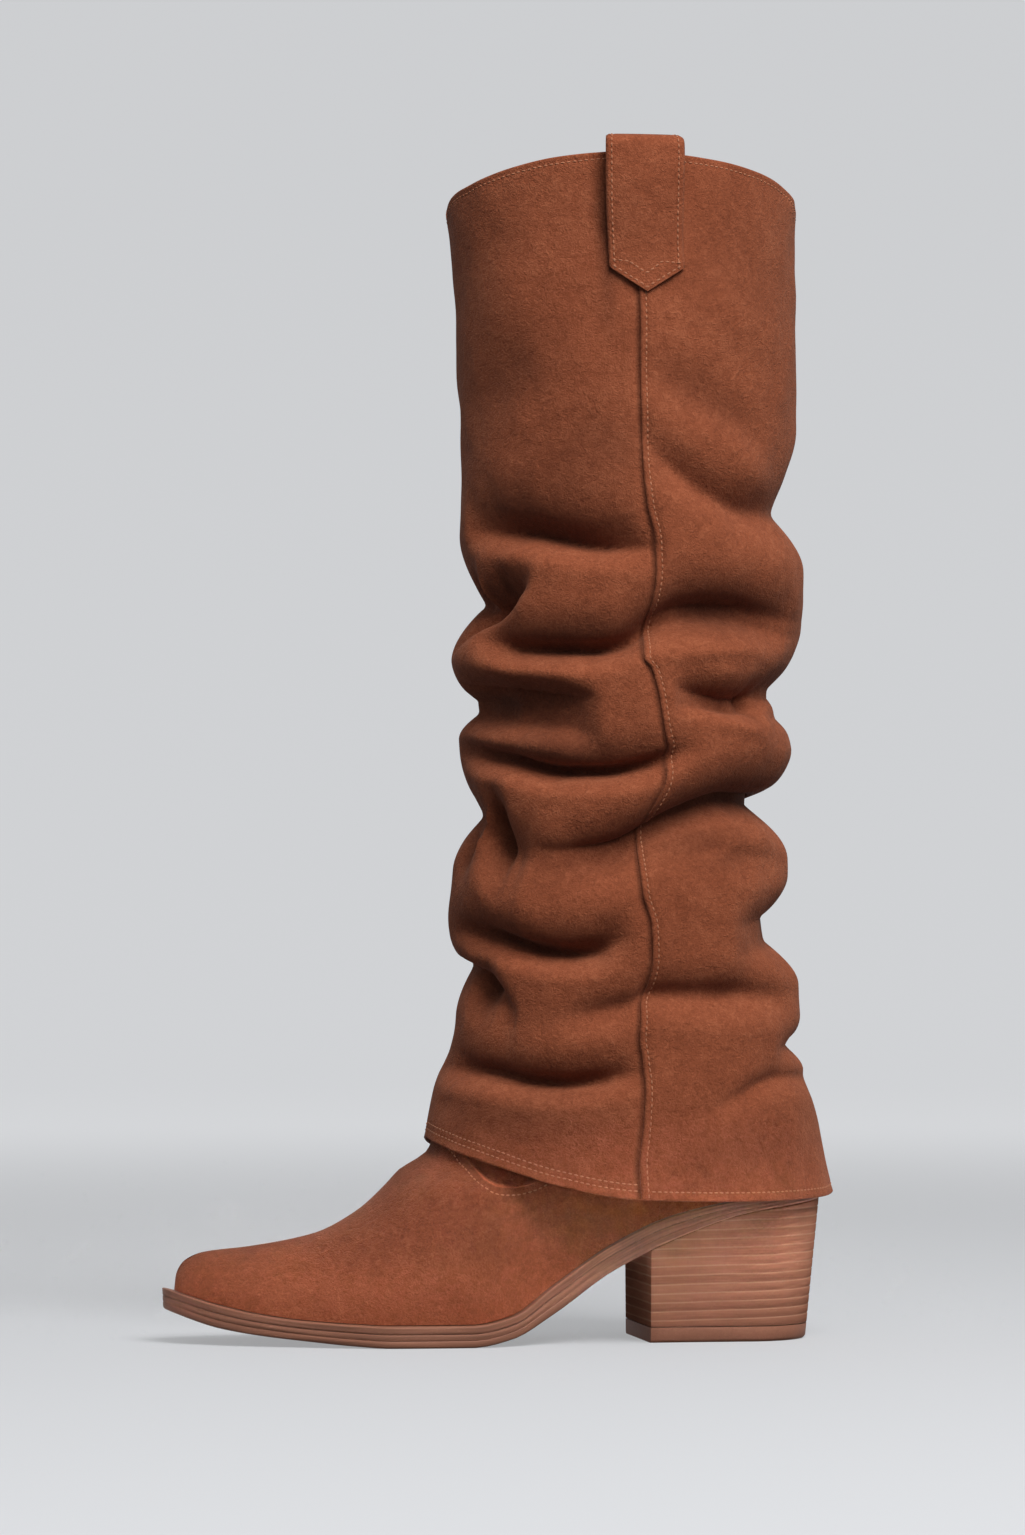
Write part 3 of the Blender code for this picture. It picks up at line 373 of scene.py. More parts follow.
class BootShaft(bpy.types.PropertyGroup):
    """Sizes of the gathered shaft."""
    wall: length_setting("Wall", "Thickness of the shaft's leather and lining", 2.0)
    fold_depth: bpy.props.FloatProperty(
        name="Fold depth", description="Depth of all the folds against their own sizes",
        default=1.0, min=0, max=2)
    crumple: length_setting("Crumple", "Height of the small unevenness of soft leather", 0.35)
    lap: length_setting("Seam lap", "How far the back panel stands over the front panel at a side seam", 0.8)
    rows: bpy.props.IntProperty(
        name="Rows", description="Rows of faces from hem to collar", default=262, min=40)


class BootFoot(bpy.types.PropertyGroup):
    """Sizes of the upper, the sole and the heel."""
    upper_wall: length_setting("Upper wall", "Thickness of the upper", 2.3)
    vamp_step: length_setting("Vamp step", "The vamp's leather over the ankle piece behind it", 1.8)
    counter: length_setting("Counter", "Thickness of the piece that laps round the heel", 0.8)
    welt_toe: length_setting("Welt at the toe", "How far the welt stands out round the forefoot", 4.6)
    welt_heel: length_setting("Welt at the heel", "How far the welt stands out at waist and heel", 2.2)
    heel_layer: length_setting("Heel layer", "Height of one layer of the stacked heel", 3.55)
    layer_tilt: bpy.props.FloatProperty(
        name="Layer tilt", description="How far the heel's layers rise towards the back",
        default=math.radians(1.3), subtype="ANGLE")
    sole_edge: colour_setting("Sole edge", "Colour of the burnished sole edge", (0.265, 0.111, 0.067))
    heel_edge: colour_setting("Heel", "Colour of the stacked heel", (0.315, 0.132, 0.081))
    # the lines between the heel's layers are painted light, partly as a painted highlight on the layers'
    # edges
    heel_line_and_highlight: colour_setting("Heel line", "Colour of the lines between the layers", (0.47, 0.240, 0.155))


class BootStitch(bpy.types.PropertyGroup):
    """Sizes of the stitching."""
    pitch: length_setting("Pitch", "From one stitch to the next", 2.35)
    length: length_setting("Length", "Length of a stitch", 1.75)
    width: length_setting("Width", "Width of the thread", 0.64)
    height: length_setting("Height", "Height of the thread", 0.62)


class BootStudio(bpy.types.PropertyGroup):
    """The plain studio and the camera."""
    azimuth: bpy.props.FloatProperty(
        name="Azimuth", description="Where the camera stands round the boot", default=math.radians(-9.0),
        subtype="ANGLE")
    elevation: bpy.props.FloatProperty(
        name="Elevation", description="How far the camera stands above its target's height",
        default=math.radians(-1.6), subtype="ANGLE")
    distance: bpy.props.FloatProperty(
        name="Distance", description="From the camera to its target", default=2.3, unit="LENGTH")
    lens: bpy.props.FloatProperty(
        name="Lens", description="Focal length in millimetres for a long side of 36 mm", default=134.85)
    target: bpy.props.FloatVectorProperty(
        name="Target", description="The point that the camera looks at", size=3,
        default=(-0.0854, 0.0, 0.2282), subtype="XYZ", unit="LENGTH")
    paper: colour_setting("Paper", "Colour of the floor and backdrop", (0.31, 0.315, 0.326))
    key_power: bpy.props.FloatProperty(
        name="Key light", description="Power of the key light", default=54.0, unit="POWER")
    front_power: bpy.props.FloatProperty(
        name="Front light", description="Power of the broad soft light from the front",
        default=5.0, unit="POWER")
    low_power: bpy.props.FloatProperty(
        name="Low light", description="Power of the narrow strip light in front of the foot", default=0.055,
        unit="POWER")
    glow: bpy.props.FloatProperty(
        name="Paper glow", default=0.345, min=0,
        description="Light of the paper itself near the boot, which keeps its shadows pale")
    wall_glow: bpy.props.FloatProperty(
        name="Wall glow", description="Light of the paper far behind the boot", default=0.55, min=0)
    fill: bpy.props.FloatProperty(
        name="Fill light", description="Strength of the soft light from above", default=0.27, min=0)
    low_fill: bpy.props.FloatProperty(
        name="Low fill", description="Strength of the soft light from below", default=0.05, min=0)


def smooth(xs, ys, x):
    """A curve through the points that never overshoots them."""
    xs, ys, x = np.asarray(xs, float), np.asarray(ys, float), np.asarray(x, float)
    run = np.diff(xs)
    rise = np.diff(ys) / run
    slope = np.zeros(len(xs))
    same = rise[:-1] * rise[1:] > 0
    slope[1:-1][same] = 2 * rise[:-1][same] * rise[1:][same] / (rise[:-1] + rise[1:])[same]
    slope[0], slope[-1] = rise[0], rise[-1]
    i = np.clip(np.searchsorted(xs, x, "right") - 1, 0, len(xs) - 2)
    t = np.clip((x - xs[i]) / run[i], 0, 1)
    low = ys[i] * (1 + 2 * t) * (1 - t) ** 2 + ys[i + 1] * t * t * (3 - 2 * t)
    return low + run[i] * (slope[i] * t * (1 - t) ** 2 - slope[i + 1] * t * t * (1 - t))


def ease(a, b, x):
    """0 before a, 1 after b, and a smooth step between."""
    t = np.clip((x - a) / (b - a), 0, 1)
    return t * t * (3 - 2 * t)


def bulge(t):
    """0 at 0, 1 from 1 on, rising like a quarter circle."""
    return np.sqrt(np.clip(1 - (1 - np.clip(t, 0, 1)) ** 2, 0, 1))


def bump(x, width):
    """1 at 0, fading out to both sides."""
    return np.exp(-(x / width) ** 2)


def turn_from(angle, middle):
    """The same angle within half a turn of the middle one."""
    return (angle - middle + 180) % 360 - 180 + middle


def surface_normals(points, reach=1):
    """Outward directions of a grid of points whose rows are closed loops, over some columns on each side."""
    up = np.gradient(points, axis=0)
    along = np.roll(points, -reach, 1) - np.roll(points, reach, 1)
    normal = np.cross(along, up)
    return normal / (np.linalg.norm(normal, axis=2)[:, :, None] + 1e-9)


CREASE_ROUND = 1.0        # how softly a fold turns at its bottom
FULL_PAINTED_SHADE = 24.0         # a fold as deep as this has its full painted shade share of a fold's reach above its line over which its painted shade fades
PAINTED_SHADE_ABOVE = 0.85        # share of a fold's reach above its line over which its shade fades
PAINTED_SHADE_BELOW = 0.25        # and of its reach below its line
PAINTED_SHADE_UNDER_LIP = 0.55    # and below its line where the leather above rolls into a lip
ROLLED_LIP = 0.8          # from here on a lip counts as rolled
DROOP_AT = 0.55           # shares of a fold's reach above its line: where the roll droops most,
DROOP_WIDTH = 0.6         # how wide that is,
DROOP_FROM = 0.5          # and where it is in full
DEGREE_LENGTH = 1.06      # length of one degree round the leg


def each_fold(angle, z):
    """The folds, each with the height over its line and its depth there."""
    for fold in FOLDS:
        turns, heights, depths = np.array(fold.line, float).T
        a = turn_from(angle, (turns[0] + turns[-1]) / 2)
        yield fold, z - smooth(turns, heights, a), smooth(turns, depths, a)


def each_dent(angle, z):
    """The dents with their size at each point, 1 in their middle."""
    for i in range(len(DENTS["z"])):
        d = {name: column[i] for name, column in DENTS.items()}
        lean = math.radians(d["lean"])
        side = (turn_from(angle, d["angle"]) - d["angle"]) * DEGREE_LENGTH
        rise = z - d["z"]
        across = (side * math.cos(lean) + rise * math.sin(lean)) / d["wide"]
        upward = (rise * math.cos(lean) - side * math.sin(lean)) / d["tall"]
        yield d, np.exp(-across ** 2 - upward ** 2)


def fold_painted_shade(angle, z):
    """Painted shade in the folds and dents, 0 to 1, mostly above a fold's line."""
    shade = np.zeros(np.broadcast(angle, z).shape)
    for fold, off, deep in each_fold(angle, z):
        above = ease(0, PAINTED_SHADE_ABOVE * fold.above, off - fold.flat)
        under = fold.below * (PAINTED_SHADE_UNDER_LIP if fold.lip > ROLLED_LIP else PAINTED_SHADE_BELOW)
        fade = np.where(off > 0, above, ease(0, under, -off - fold.flat))
        shade = np.maximum(shade, np.clip(deep / FULL_PAINTED_SHADE, 0, 1) * (1 - fade))
    for dent, size in each_dent(angle, z):
        shade = np.maximum(shade, dent["shade"] * size)
    return shade


def fold_relief(angle, z, inside=False):
    """Inward depth and downward droop of the gathered leather at an angle and height of the plain shaft.

    Inside the shaft the folds are plain waves that stay behind the outer face.
    """
    depth = np.zeros(np.broadcast(angle, z).shape)
    droop = np.zeros_like(depth)
    for fold, off, deep in each_fold(angle, z):
        far = np.clip(np.abs(off) - fold.flat, 0, None)
        far = np.sqrt(far ** 2 + CREASE_ROUND ** 2) - CREASE_ROUND
        t = np.clip(far / np.where(off > 0, fold.above, fold.below), 0, 1)
        if inside:
            depth += deep * (0.5 + 0.5 * np.cos(np.pi * t))
            continue
        slope, roll = 1 - np.sin(np.pi / 2 * t), 1 - bulge(t)
        depth += deep * (slope + (roll - slope) * np.where(off > 0, fold.lip, fold.shoulder))
        sunk = bump(off - DROOP_AT * fold.above, DROOP_WIDTH * fold.above)
        sunk = sunk * ease(0, DROOP_FROM * fold.above, off)
        droop += fold.droop * deep * sunk
    for dent, size in each_dent(angle, z):
        depth += dent["depth"] * size
    return depth, droop


CRUMPLE_WAVES = 36
CRUMPLE_SEED = 11
CRUMPLE_AROUND = (2, 26)  # waves round the leg
CRUMPLE_LENGTH = (14, 60)  # length of a wave up the leg
CRUMPLE_GAIN = 1.6        # brings the sum of the waves to a height of about 1


def crumple(angle, z):
    """Small unevenness of soft leather, about 1 high, the same each time."""
    draw = np.random.default_rng(CRUMPLE_SEED)
    total = np.zeros(np.broadcast(angle, z).shape)
    for _ in range(CRUMPLE_WAVES):
        around = draw.integers(*CRUMPLE_AROUND)
        length = draw.uniform(*CRUMPLE_LENGTH)
        phase = draw.uniform(0, 2 * np.pi)
        lean = draw.choice([-1, 1])
        size = draw.uniform(0.4, 1.0) * min(1, 12 / around) * length / 40
        total += size * np.sin(np.radians(angle) * around * lean + 2 * np.pi * z / length + phase)
    return total / math.sqrt(CRUMPLE_WAVES) * CRUMPLE_GAIN


COLLAR_MIDDLE = 171       # the middle of the angles in the collar's table


def collar_height(turn):
    turn = turn_from(np.asarray(turn), COLLAR_MIDDLE)
    return COLLAR_SIDE_Z - smooth(COLLAR["angle"], COLLAR["drop"], turn)


def hem_height(turn):
    return smooth(HEM["angle"], HEM["z"], np.asarray(turn) % 360)


def seam_behind(turn):
    """Degrees behind the nearer side seam; under 0 on the front panel."""
    turn = np.asarray(turn) % 360
    return np.minimum(turn - OUTER_SEAM, INNER_SEAM - turn)


def seam_drift(turn, z):
    """Degrees by which the leather follows the wandering seams."""
    behind = smooth(SEAM_DRIFT["z"], SEAM_DRIFT["behind"], z)
    outer = bump(turn_from(turn, OUTER_SEAM) - OUTER_SEAM, SEAM_REACH)
    inner = bump(turn_from(turn, INNER_SEAM) - INNER_SEAM, SEAM_REACH)
    return behind * (outer - INNER_SEAM_SHARE * inner)


SEAM_STITCH = 2.0         # degrees from the lap's edge to its stitching
COLLAR_STITCH = 2.3       # from the collar's edge down to its stitching
HEM_STITCH = 3.0          # from the hem's edge up to its stitching
HEM_SECOND = 2.5          # from there to the second row of the front panel
LAP_FIRST = 0.6           # share of the lap's height right at its edge
LAP_RISE = 0.6            # degrees behind its edge where it has its full height
LAP_FADE = (3.2, 9.0)     # degrees behind its edge over which it thins out
# Height and half width of the turned edges and of the grooves beside the lap and along the stitches
LAP_GROOVE = (0.5, 1.5)
SEAM_GROOVE = (0.32, 0.6)
COLLAR_ROLL = (0.06, 1.0)
COLLAR_GROOVE = (0.16, 0.7)
HEM_ROLL = (0.12, 1.2)
HEM_GROOVE = (0.18, 0.7)
SECOND_GROOVE = (0.15, 0.7)


def swell(x, size, width):
    return size * bump(x, width)


def edge_relief(turn, z, lap):
    """Outward height of the seam laps, the turned edges and the grooves that the stitches pull in."""
    behind = seam_behind(turn)
    front = -swell(behind + 1.0, *LAP_GROOVE) * (behind < 0)
    rise = lap * (LAP_FIRST + (1 - LAP_FIRST) * ease(0, LAP_RISE, behind)) * (1 - ease(*LAP_FADE, behind))
    back = (rise - swell(behind - SEAM_STITCH, *SEAM_GROOVE)) * (behind >= 0)
    below = collar_height(turn) - z
    above = z - hem_height(turn)
    collar = swell(below, *COLLAR_ROLL) - swell(below - COLLAR_STITCH, *COLLAR_GROOVE)
    hem = swell(above, *HEM_ROLL) - swell(above - HEM_STITCH, *HEM_GROOVE)
    second = -swell(above - HEM_STITCH - HEM_SECOND, *SECOND_GROOVE) * (behind < 0)
    return front + back + collar + hem + second


def shaft_at(turn, z, settings, edges=True, inset=0.0, inside=False):
    """A point of the shaft's outer face, or of one inset inside it, at a turn round the leg and a height."""
    angle = turn + seam_drift(turn, z)
    depth, droop = fold_relief(angle, z, inside)
    front, back, half = (smooth(SHAFT["z"], SHAFT[c], z) for c in ("front", "back", "half"))
    inward = depth * settings.fold_depth + inset
    if edges:
        inward = inward - edge_relief(turn, z, settings.lap / MM) - crumple(angle, z) * settings.crumple / MM
    rad = np.radians(angle)
    x = (front + back) / 2 - ((back - front) / 2 - inward) * np.cos(rad)
    y = -(half - inward) * np.sin(rad)
    return np.stack(np.broadcast_arrays(x, y, z - droop), -1)


# Columns of faces along a side seam, in degrees behind it
SEAM_COLUMNS = (
    -8.0, -6.4, -5.0, -3.8, -2.8, -2.0, -1.4, -0.9, -0.5, -0.2, -0.06, 0.06, 0.25, 0.55, 0.95, 1.35, 1.7, 2.0,
    2.3, 2.7, 3.3, 4.2, 5.4, 7.0)
COLUMN_STEP = 1.65        # degrees between the other columns
COLUMN_COUNT = int((OUTER_SEAM + SEAM_COLUMNS[0]) / COLUMN_STEP)


def shaft_turns():
    """The columns of the shaft's faces, close together along the side seams."""
    seam = OUTER_SEAM + np.array(SEAM_COLUMNS)
    front = np.linspace(0, seam[0], COLUMN_COUNT, endpoint=False)
    back = np.linspace(seam[-1] + COLUMN_STEP, 180, COLUMN_COUNT)
    outer = np.concatenate([front, seam, back])
    return np.concatenate([outer, 360 - outer[-2:0:-1]])


FINE_STEPS = 900          # steps in which a column's length is measured
SMOOTH_FROM_Z = 352.0     # above this the shaft has no folds and takes fewer rows
SMOOTH_BLEND = 20.0       # height over which the rows grow apart there
SMOOTH_SAVING = 0.62      # share of the rows that is saved there
EDGE_BAND = 8.0           # close rows along hem and collar
EDGE_BAND_FULL = 0.6      # share of that band with its full number of rows
EDGE_ROWS = 1.6           # so many more rows there


def shaft_grid(settings):
    """The shaft's turns, and a height for each row of faces that follows each column's own length."""
    turns = shaft_turns()
    low, high = hem_height(turns), collar_height(turns)
    share = np.linspace(0, 1, FINE_STEPS)[:, None]
    z = low + (high - low) * share
    fine = shaft_at(turns, z, settings, edges=False)
    step = np.linalg.norm(np.diff(fine, axis=0), axis=2)
    middle = (z[1:] + z[:-1]) / 2
    weight = 1 - SMOOTH_SAVING * ease(SMOOTH_FROM_Z, SMOOTH_FROM_Z + SMOOTH_BLEND, middle)
    near = np.minimum(middle - low, high - middle)
    weight = weight + EDGE_ROWS * (1 - ease(EDGE_BAND * EDGE_BAND_FULL, EDGE_BAND, near))
    run = np.concatenate([np.zeros((1, len(turns))), np.cumsum(step * weight, axis=0)])
    wanted = np.linspace(0, 1, settings.rows)
    rows = np.stack([np.interp(wanted * run[-1, i], run[:, i], z[:, i]) for i in range(len(turns))], 1)
    return turns, rows


RIM_SHARES = (0.25, 0.5, 0.75)        # where the loops over a rim lie between its two faces


def shell_loops(outer, inner, rim):
    """A closed cycle of loops round a hollow wall: up its outer face, over the rim and down inside."""
    def over(a, b, lift):
        loops = []
        for t in (math.pi * share for share in RIM_SHARES):
            loops.append(a + (b - a) * (0.5 - 0.5 * math.cos(t)) + np.array([0, 0, lift * math.sin(t)]))
        return loops
    return [*outer, *over(outer[-1], inner[-1], rim), *inner[::-1], *over(inner[0], outer[0], -rim)]


def loop_faces(rows, count, closed):
    """Quads between neighbouring loops of count points. A closed cycle also joins its last to its first."""
    r = np.arange(rows if closed else rows - 1)[:, None]
    i = np.arange(count)[None, :]
    ahead, above = (i + 1) % count, (r + 1) % rows
    corners = [r * count + i, r * count + ahead, above * count + ahead, above * count + i]
    return np.stack(corners, -1).reshape(-1, 4).tolist()


def cap_faces(count, first, tipped=True):
    """Faces across a loop, from the points of one side to those of the other."""
    faces = []
    for i in range(count // 2):
        back = count - i - 1
        far = (back, (back + 1) % count) if tipped else (back - 1, back)
        kept = list(dict.fromkeys(first + c for c in (i, i + 1, *far)))
        if len(kept) > 2:
            faces.append(tuple(kept))
    return faces


def place_object(name, data):
    """A new object in the scene."""
    made = bpy.data.objects.new(name, data)
    bpy.context.scene.collection.objects.link(made)
    return made


def add_piece(name, loops, finish, closed=False, tipped=True, sharp=48.0):
    """A piece from its loops of points in millimetres: a closed cycle, or a stack with both ends capped."""
    loops = np.array(loops)
    rows, count = loops.shape[:2]
    faces = loop_faces(rows, count, closed)
    if not closed:
        faces += cap_faces(count, 0, tipped) + cap_faces(count, (rows - 1) * count, tipped)
    mesh = bpy.data.meshes.new(name)
    mesh.from_pydata((loops.reshape(-1, 3) * MM).tolist(), [], faces)
    work = bmesh.new()
    work.from_mesh(mesh)
    bmesh.ops.recalc_face_normals(work, faces=work.faces)
    work.to_mesh(mesh)
    work.free()
    mesh.shade_smooth()
    mesh.set_sharp_from_angle(angle=math.radians(sharp))
    mesh.materials.append(finish)
    return place_object(name, mesh)


def settle(piece, slot, *nodes):
    """The piece rides with the boot and stands for these nodes, which are hidden. The slot is not used."""
    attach(piece, "root")
    if nodes:
        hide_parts(*nodes)


def set_vectors(piece, name, vectors):
    """A vector for each point of a piece, which its material or stitching reads by name."""
    stored = piece.data.attributes.new(name, "FLOAT_VECTOR", "POINT")
    stored.data.foreach_set("vector", np.asarray(vectors, np.float32).ravel())


INNER_ROWS = 2            # one row of an inner face for so many of its outer face
LINING_THICK = 0.6
LINING_EDGE = 2.0         # the shaft's lining ends this far from hem and collar
LINING_SINK = 0.15        # it lies this far behind the suede's inner face
SHAFT_RIM = 0.5           # how far the shaft's edges are rounded
LINING_RIM = 0.1
SEAM_PAINTED_SHADOW = 0.7          # painted shadow in front of a seam's lap: how dark it is degrees in front of the lap, and half the width of that painted shadow
SEAM_PAINTED_SHADOW_AT = (0.5, 0.9)    # degrees in front of the lap, and half the width of that shade


def some_rows(count):
    """The rows that an inner face takes from its outer face, with the last one."""
    return sorted({*range(0, count, INNER_ROWS), count - 1})


def make_shaft(settings, suede, lining):
    turns, rows = shaft_grid(settings)
    wall = settings.wall / MM
    picked = some_rows(len(rows))
    outer = shaft_at(turns, rows, settings)
    inner = shaft_at(turns, rows[picked], settings, False, wall - LINING_THICK, True)
    inner[0, :, 2], inner[-1, :, 2] = outer[0, :, 2], outer[-1, :, 2]
    loops = shell_loops(outer, inner, SHAFT_RIM)
    piece = add_piece("shaft_suede", loops, suede, closed=True)
    # painted shade in the folds and dents, darkening the suede's colour
    painted_shading = np.zeros((len(loops), len(turns), 3))
    # painted shadow in front of each seam's lap
    groove = SEAM_PAINTED_SHADOW * bump(seam_behind(turns) + SEAM_PAINTED_SHADOW_AT[0], SEAM_PAINTED_SHADOW_AT[1])
    painted_shading[:len(rows), :, 0] = np.maximum(fold_painted_shade(turns + seam_drift(turns, rows), rows), groove)
    set_vectors(piece, "painted_shading", painted_shading.reshape(-1, 3))
    settle(piece, "suede", "shaft")
    some = turns[::2]
    heights = rows[picked][:, ::2].copy()
    heights[0] += LINING_EDGE
    heights[-1] -= LINING_EDGE
    cover = shaft_at(some, heights, settings, False, wall - LINING_THICK + LINING_SINK, True)
    face = shaft_at(some, heights, settings, False, wall, True)
    settle(add_piece("shaft_lining", shell_loops(cover, face, LINING_RIM), lining, closed=True), "insole")


def on_line(line, share):
    """The point at this share of the way along a profile line."""
    run = np.concatenate([[0], np.cumsum(np.hypot(np.diff(line["x"]), np.diff(line["z"])))])
    at = np.asarray(share) * run[-1]
    return smooth(run, line["x"], at), smooth(run, line["z"], at)


# Steps along one side of the foot, close together at toe, heel and the counter's front edge
COUNTER_COLUMNS = np.array([-1.6, -0.8, -0.35, -0.08, 0.08, 0.35, 0.9, 2.0]) / (HEEL_X - TOE_X)
STATION_SHARE = np.union1d((1 - np.cos(np.linspace(0, np.pi, 103))) / 2, COUNTER_SHARE + COUNTER_COLUMNS)
FOOT_HALF = len(STATION_SHARE) - 1
STATION = TOE_X + STATION_SHARE * (HEEL_X - TOE_X)


def sole_height(column, x):
    return smooth(SOLE["x"], SOLE[column], x)


def foot_half_width(x, side):
    """The upper's half width at the sole."""
    full = smooth(SOLE["x"], SOLE[side], x)
    return full * bulge((x - TOE_X) / TOE_ROUND) * bulge((HEEL_X - x) / HEEL_ROUND)


def ring(lateral, medial):
    """One loop from the toe over the outer side to the heel and back: points are given toe to heel."""
    return np.concatenate([lateral, medial[-2:0:-1]])


def feather_line():
    """The plan of the upper's lower edge as a loop of x, y."""
    centre = smooth(SOLE["x"], SOLE["centre"], STATION)
    lateral = np.stack([STATION, centre - foot_half_width(STATION, "lateral")], 1)
    medial = np.stack([STATION, centre + foot_half_width(STATION, "medial")], 1)
    return ring(lateral, medial)


def grown(loop, reach):
    """A plan loop moved out by reach, a number or one for each point."""
    ahead = np.roll(loop, -1, 0) - np.roll(loop, 1, 0)
    out = np.stack([ahead[:, 1], -ahead[:, 0]], 1)
    out /= np.linalg.norm(out, axis=1)[:, None]
    return loop + out * np.broadcast_to(reach, len(loop))[:, None]


def upper_line(front, back):
    """One row of the upper in its long section, from instep to heel, before the vamp's edge bends it."""
    fx, fz = on_line(INSTEP, front)
    bx, bz = on_line(HEEL_BACK, back)
    first = INSTEP["z"][0] + STATION_SHARE * (HEEL_BACK["z"][0] - INSTEP["z"][0])
    bow = sole_height("top", STATION) + GAP - first
    return fx + STATION_SHARE * (bx - fx), fz + STATION_SHARE * (bz - fz) + bow * (1 - front) ** 2


def vamp_dip(x):
    """How far the vamp's edge lies under its row's plain line."""
    row_x, row_z = upper_line(UPPER_ROWS["front"][VAMP_EDGE_ROW], UPPER_ROWS["back"][VAMP_EDGE_ROW])
    dip = (row_z - smooth(VAMP_EDGE["x"], VAMP_EDGE["z"], row_x)) * (1 - ease(*VAMP_DIP_FADE, row_x))
    return np.interp(x, row_x, dip)


def last_edge(x, z, side, sign):
    """How far the foot's surface lies to one side of the middle line at a point of its long section."""
    floor = sole_height("top", x)
    over, top = INSTEP["x"][2:-3], INSTEP["z"][2:-3]
    roof = smooth(over, top, np.clip(x, over[0], over[-1]))
    roof = np.where(x < over[0], np.interp(x, INSTEP["x"][:3], INSTEP["z"][:3]), roof)
    closing = bulge(np.clip(roof + RIDGE_ROUND - z, 0, None) / np.clip(roof - floor, *ROUND_DEPTH))
    closing = np.where(x > over[-1], 1, closing)
    behind = smooth(HEEL_BACK["z"], HEEL_BACK["x"], z)
    shifted = x + (HEEL_X - behind) * ease(*HEEL_SHIFT, x)
    foot = foot_half_width(np.clip(shifted, TOE_X, HEEL_X), side) * closing
    ahead = smooth(INSTEP["z"][9:], INSTEP["x"][9:], z)
    middle, half = (ahead + behind) / 2, (behind - ahead) / 2
    leg = smooth(ANKLE_DEPTH["z"], ANKLE_DEPTH["half"], z)
    leg = leg * np.sqrt(np.clip(1 - ((x - middle) / half) ** 2, 0, 1))
    wide = foot + (leg - foot) * ease(*FOOT_TO_LEG, z)
    centre = smooth(SOLE["x"], SOLE["centre"], x) * (1 - ease(*CENTRE_FADE, z))
    return centre + sign * wide


def inside_shaft(loop, room):
    """The points of a loop that the shaft hangs over, kept clear of the shaft's inner face by some room."""
    x, y, z = loop.T
    front, back, half = (smooth(SHAFT["z"], SHAFT[c], z) for c in ("front", "back", "half"))
    middle, long = (front + back) / 2, (back - front) / 2
    angle = np.degrees(np.arctan2(-y / half, (middle - x) / long)) % 360
    deepest = np.max([fold_relief(angle, z + near, True)[0] for near in FOLD_REACH], 0)
    lost = room + deepest
    over = np.hypot((x - middle) / (long - lost), y / (half - lost))
    covered = ease(*HEM_COVER, z - hem_height(angle))
    shrink = 1 + (1 / np.maximum(over, 1) - 1) * covered
    return np.stack([middle + (x - middle) * shrink, y * shrink, z], 1)


def upper_loop(row, room):
    """One loop of the upper's outer face, row by row from the sole (0) to the ankle."""
    numbers = np.arange(len(UPPER_ROWS["front"]))
    front, back, dip = (float(smooth(numbers, UPPER_ROWS[c], row)) for c in ("front", "back", "dip"))
    x, z = upper_line(front, back)
    z = z - dip * vamp_dip(x)
    sides = (last_edge(x, z, "lateral", -1), last_edge(x, z, "medial", 1))
    loop = ring(*(np.stack([x, y, z], 1) for y in sides))
    loop[0, 1] = smooth(SOLE["x"], SOLE["centre"], x[0]) * (1 - ease(*CENTRE_FADE, z[0]))
    loop[FOOT_HALF, 1] = 0
    return inside_shaft(loop, room)


UPPER_ROOM = 0.9          # between the upper and the shaft's inner face
VAMP_ROWS = 58
ANKLE_ROWS = 30
LEG_MIDDLE_X = -40        # the leg over the foot: its middle and half its sizes
LEG_LONG = 66
LEG_WIDE = 50
FLARE = (1.0, 0.72, 0.42, 0.18, 0.05)     # how far the last rows open out to the shaft, the last one first
COVER_SINK = 0.1          # the upper's lining lies this far behind the suede's inner face


def leg_turn(points):
    """Degrees round the leg of some points."""
    ahead = (LEG_MIDDLE_X - points[..., 0]) / LEG_LONG
    return np.degrees(np.arctan2(-points[..., 1] / LEG_WIDE, ahead)) % 360


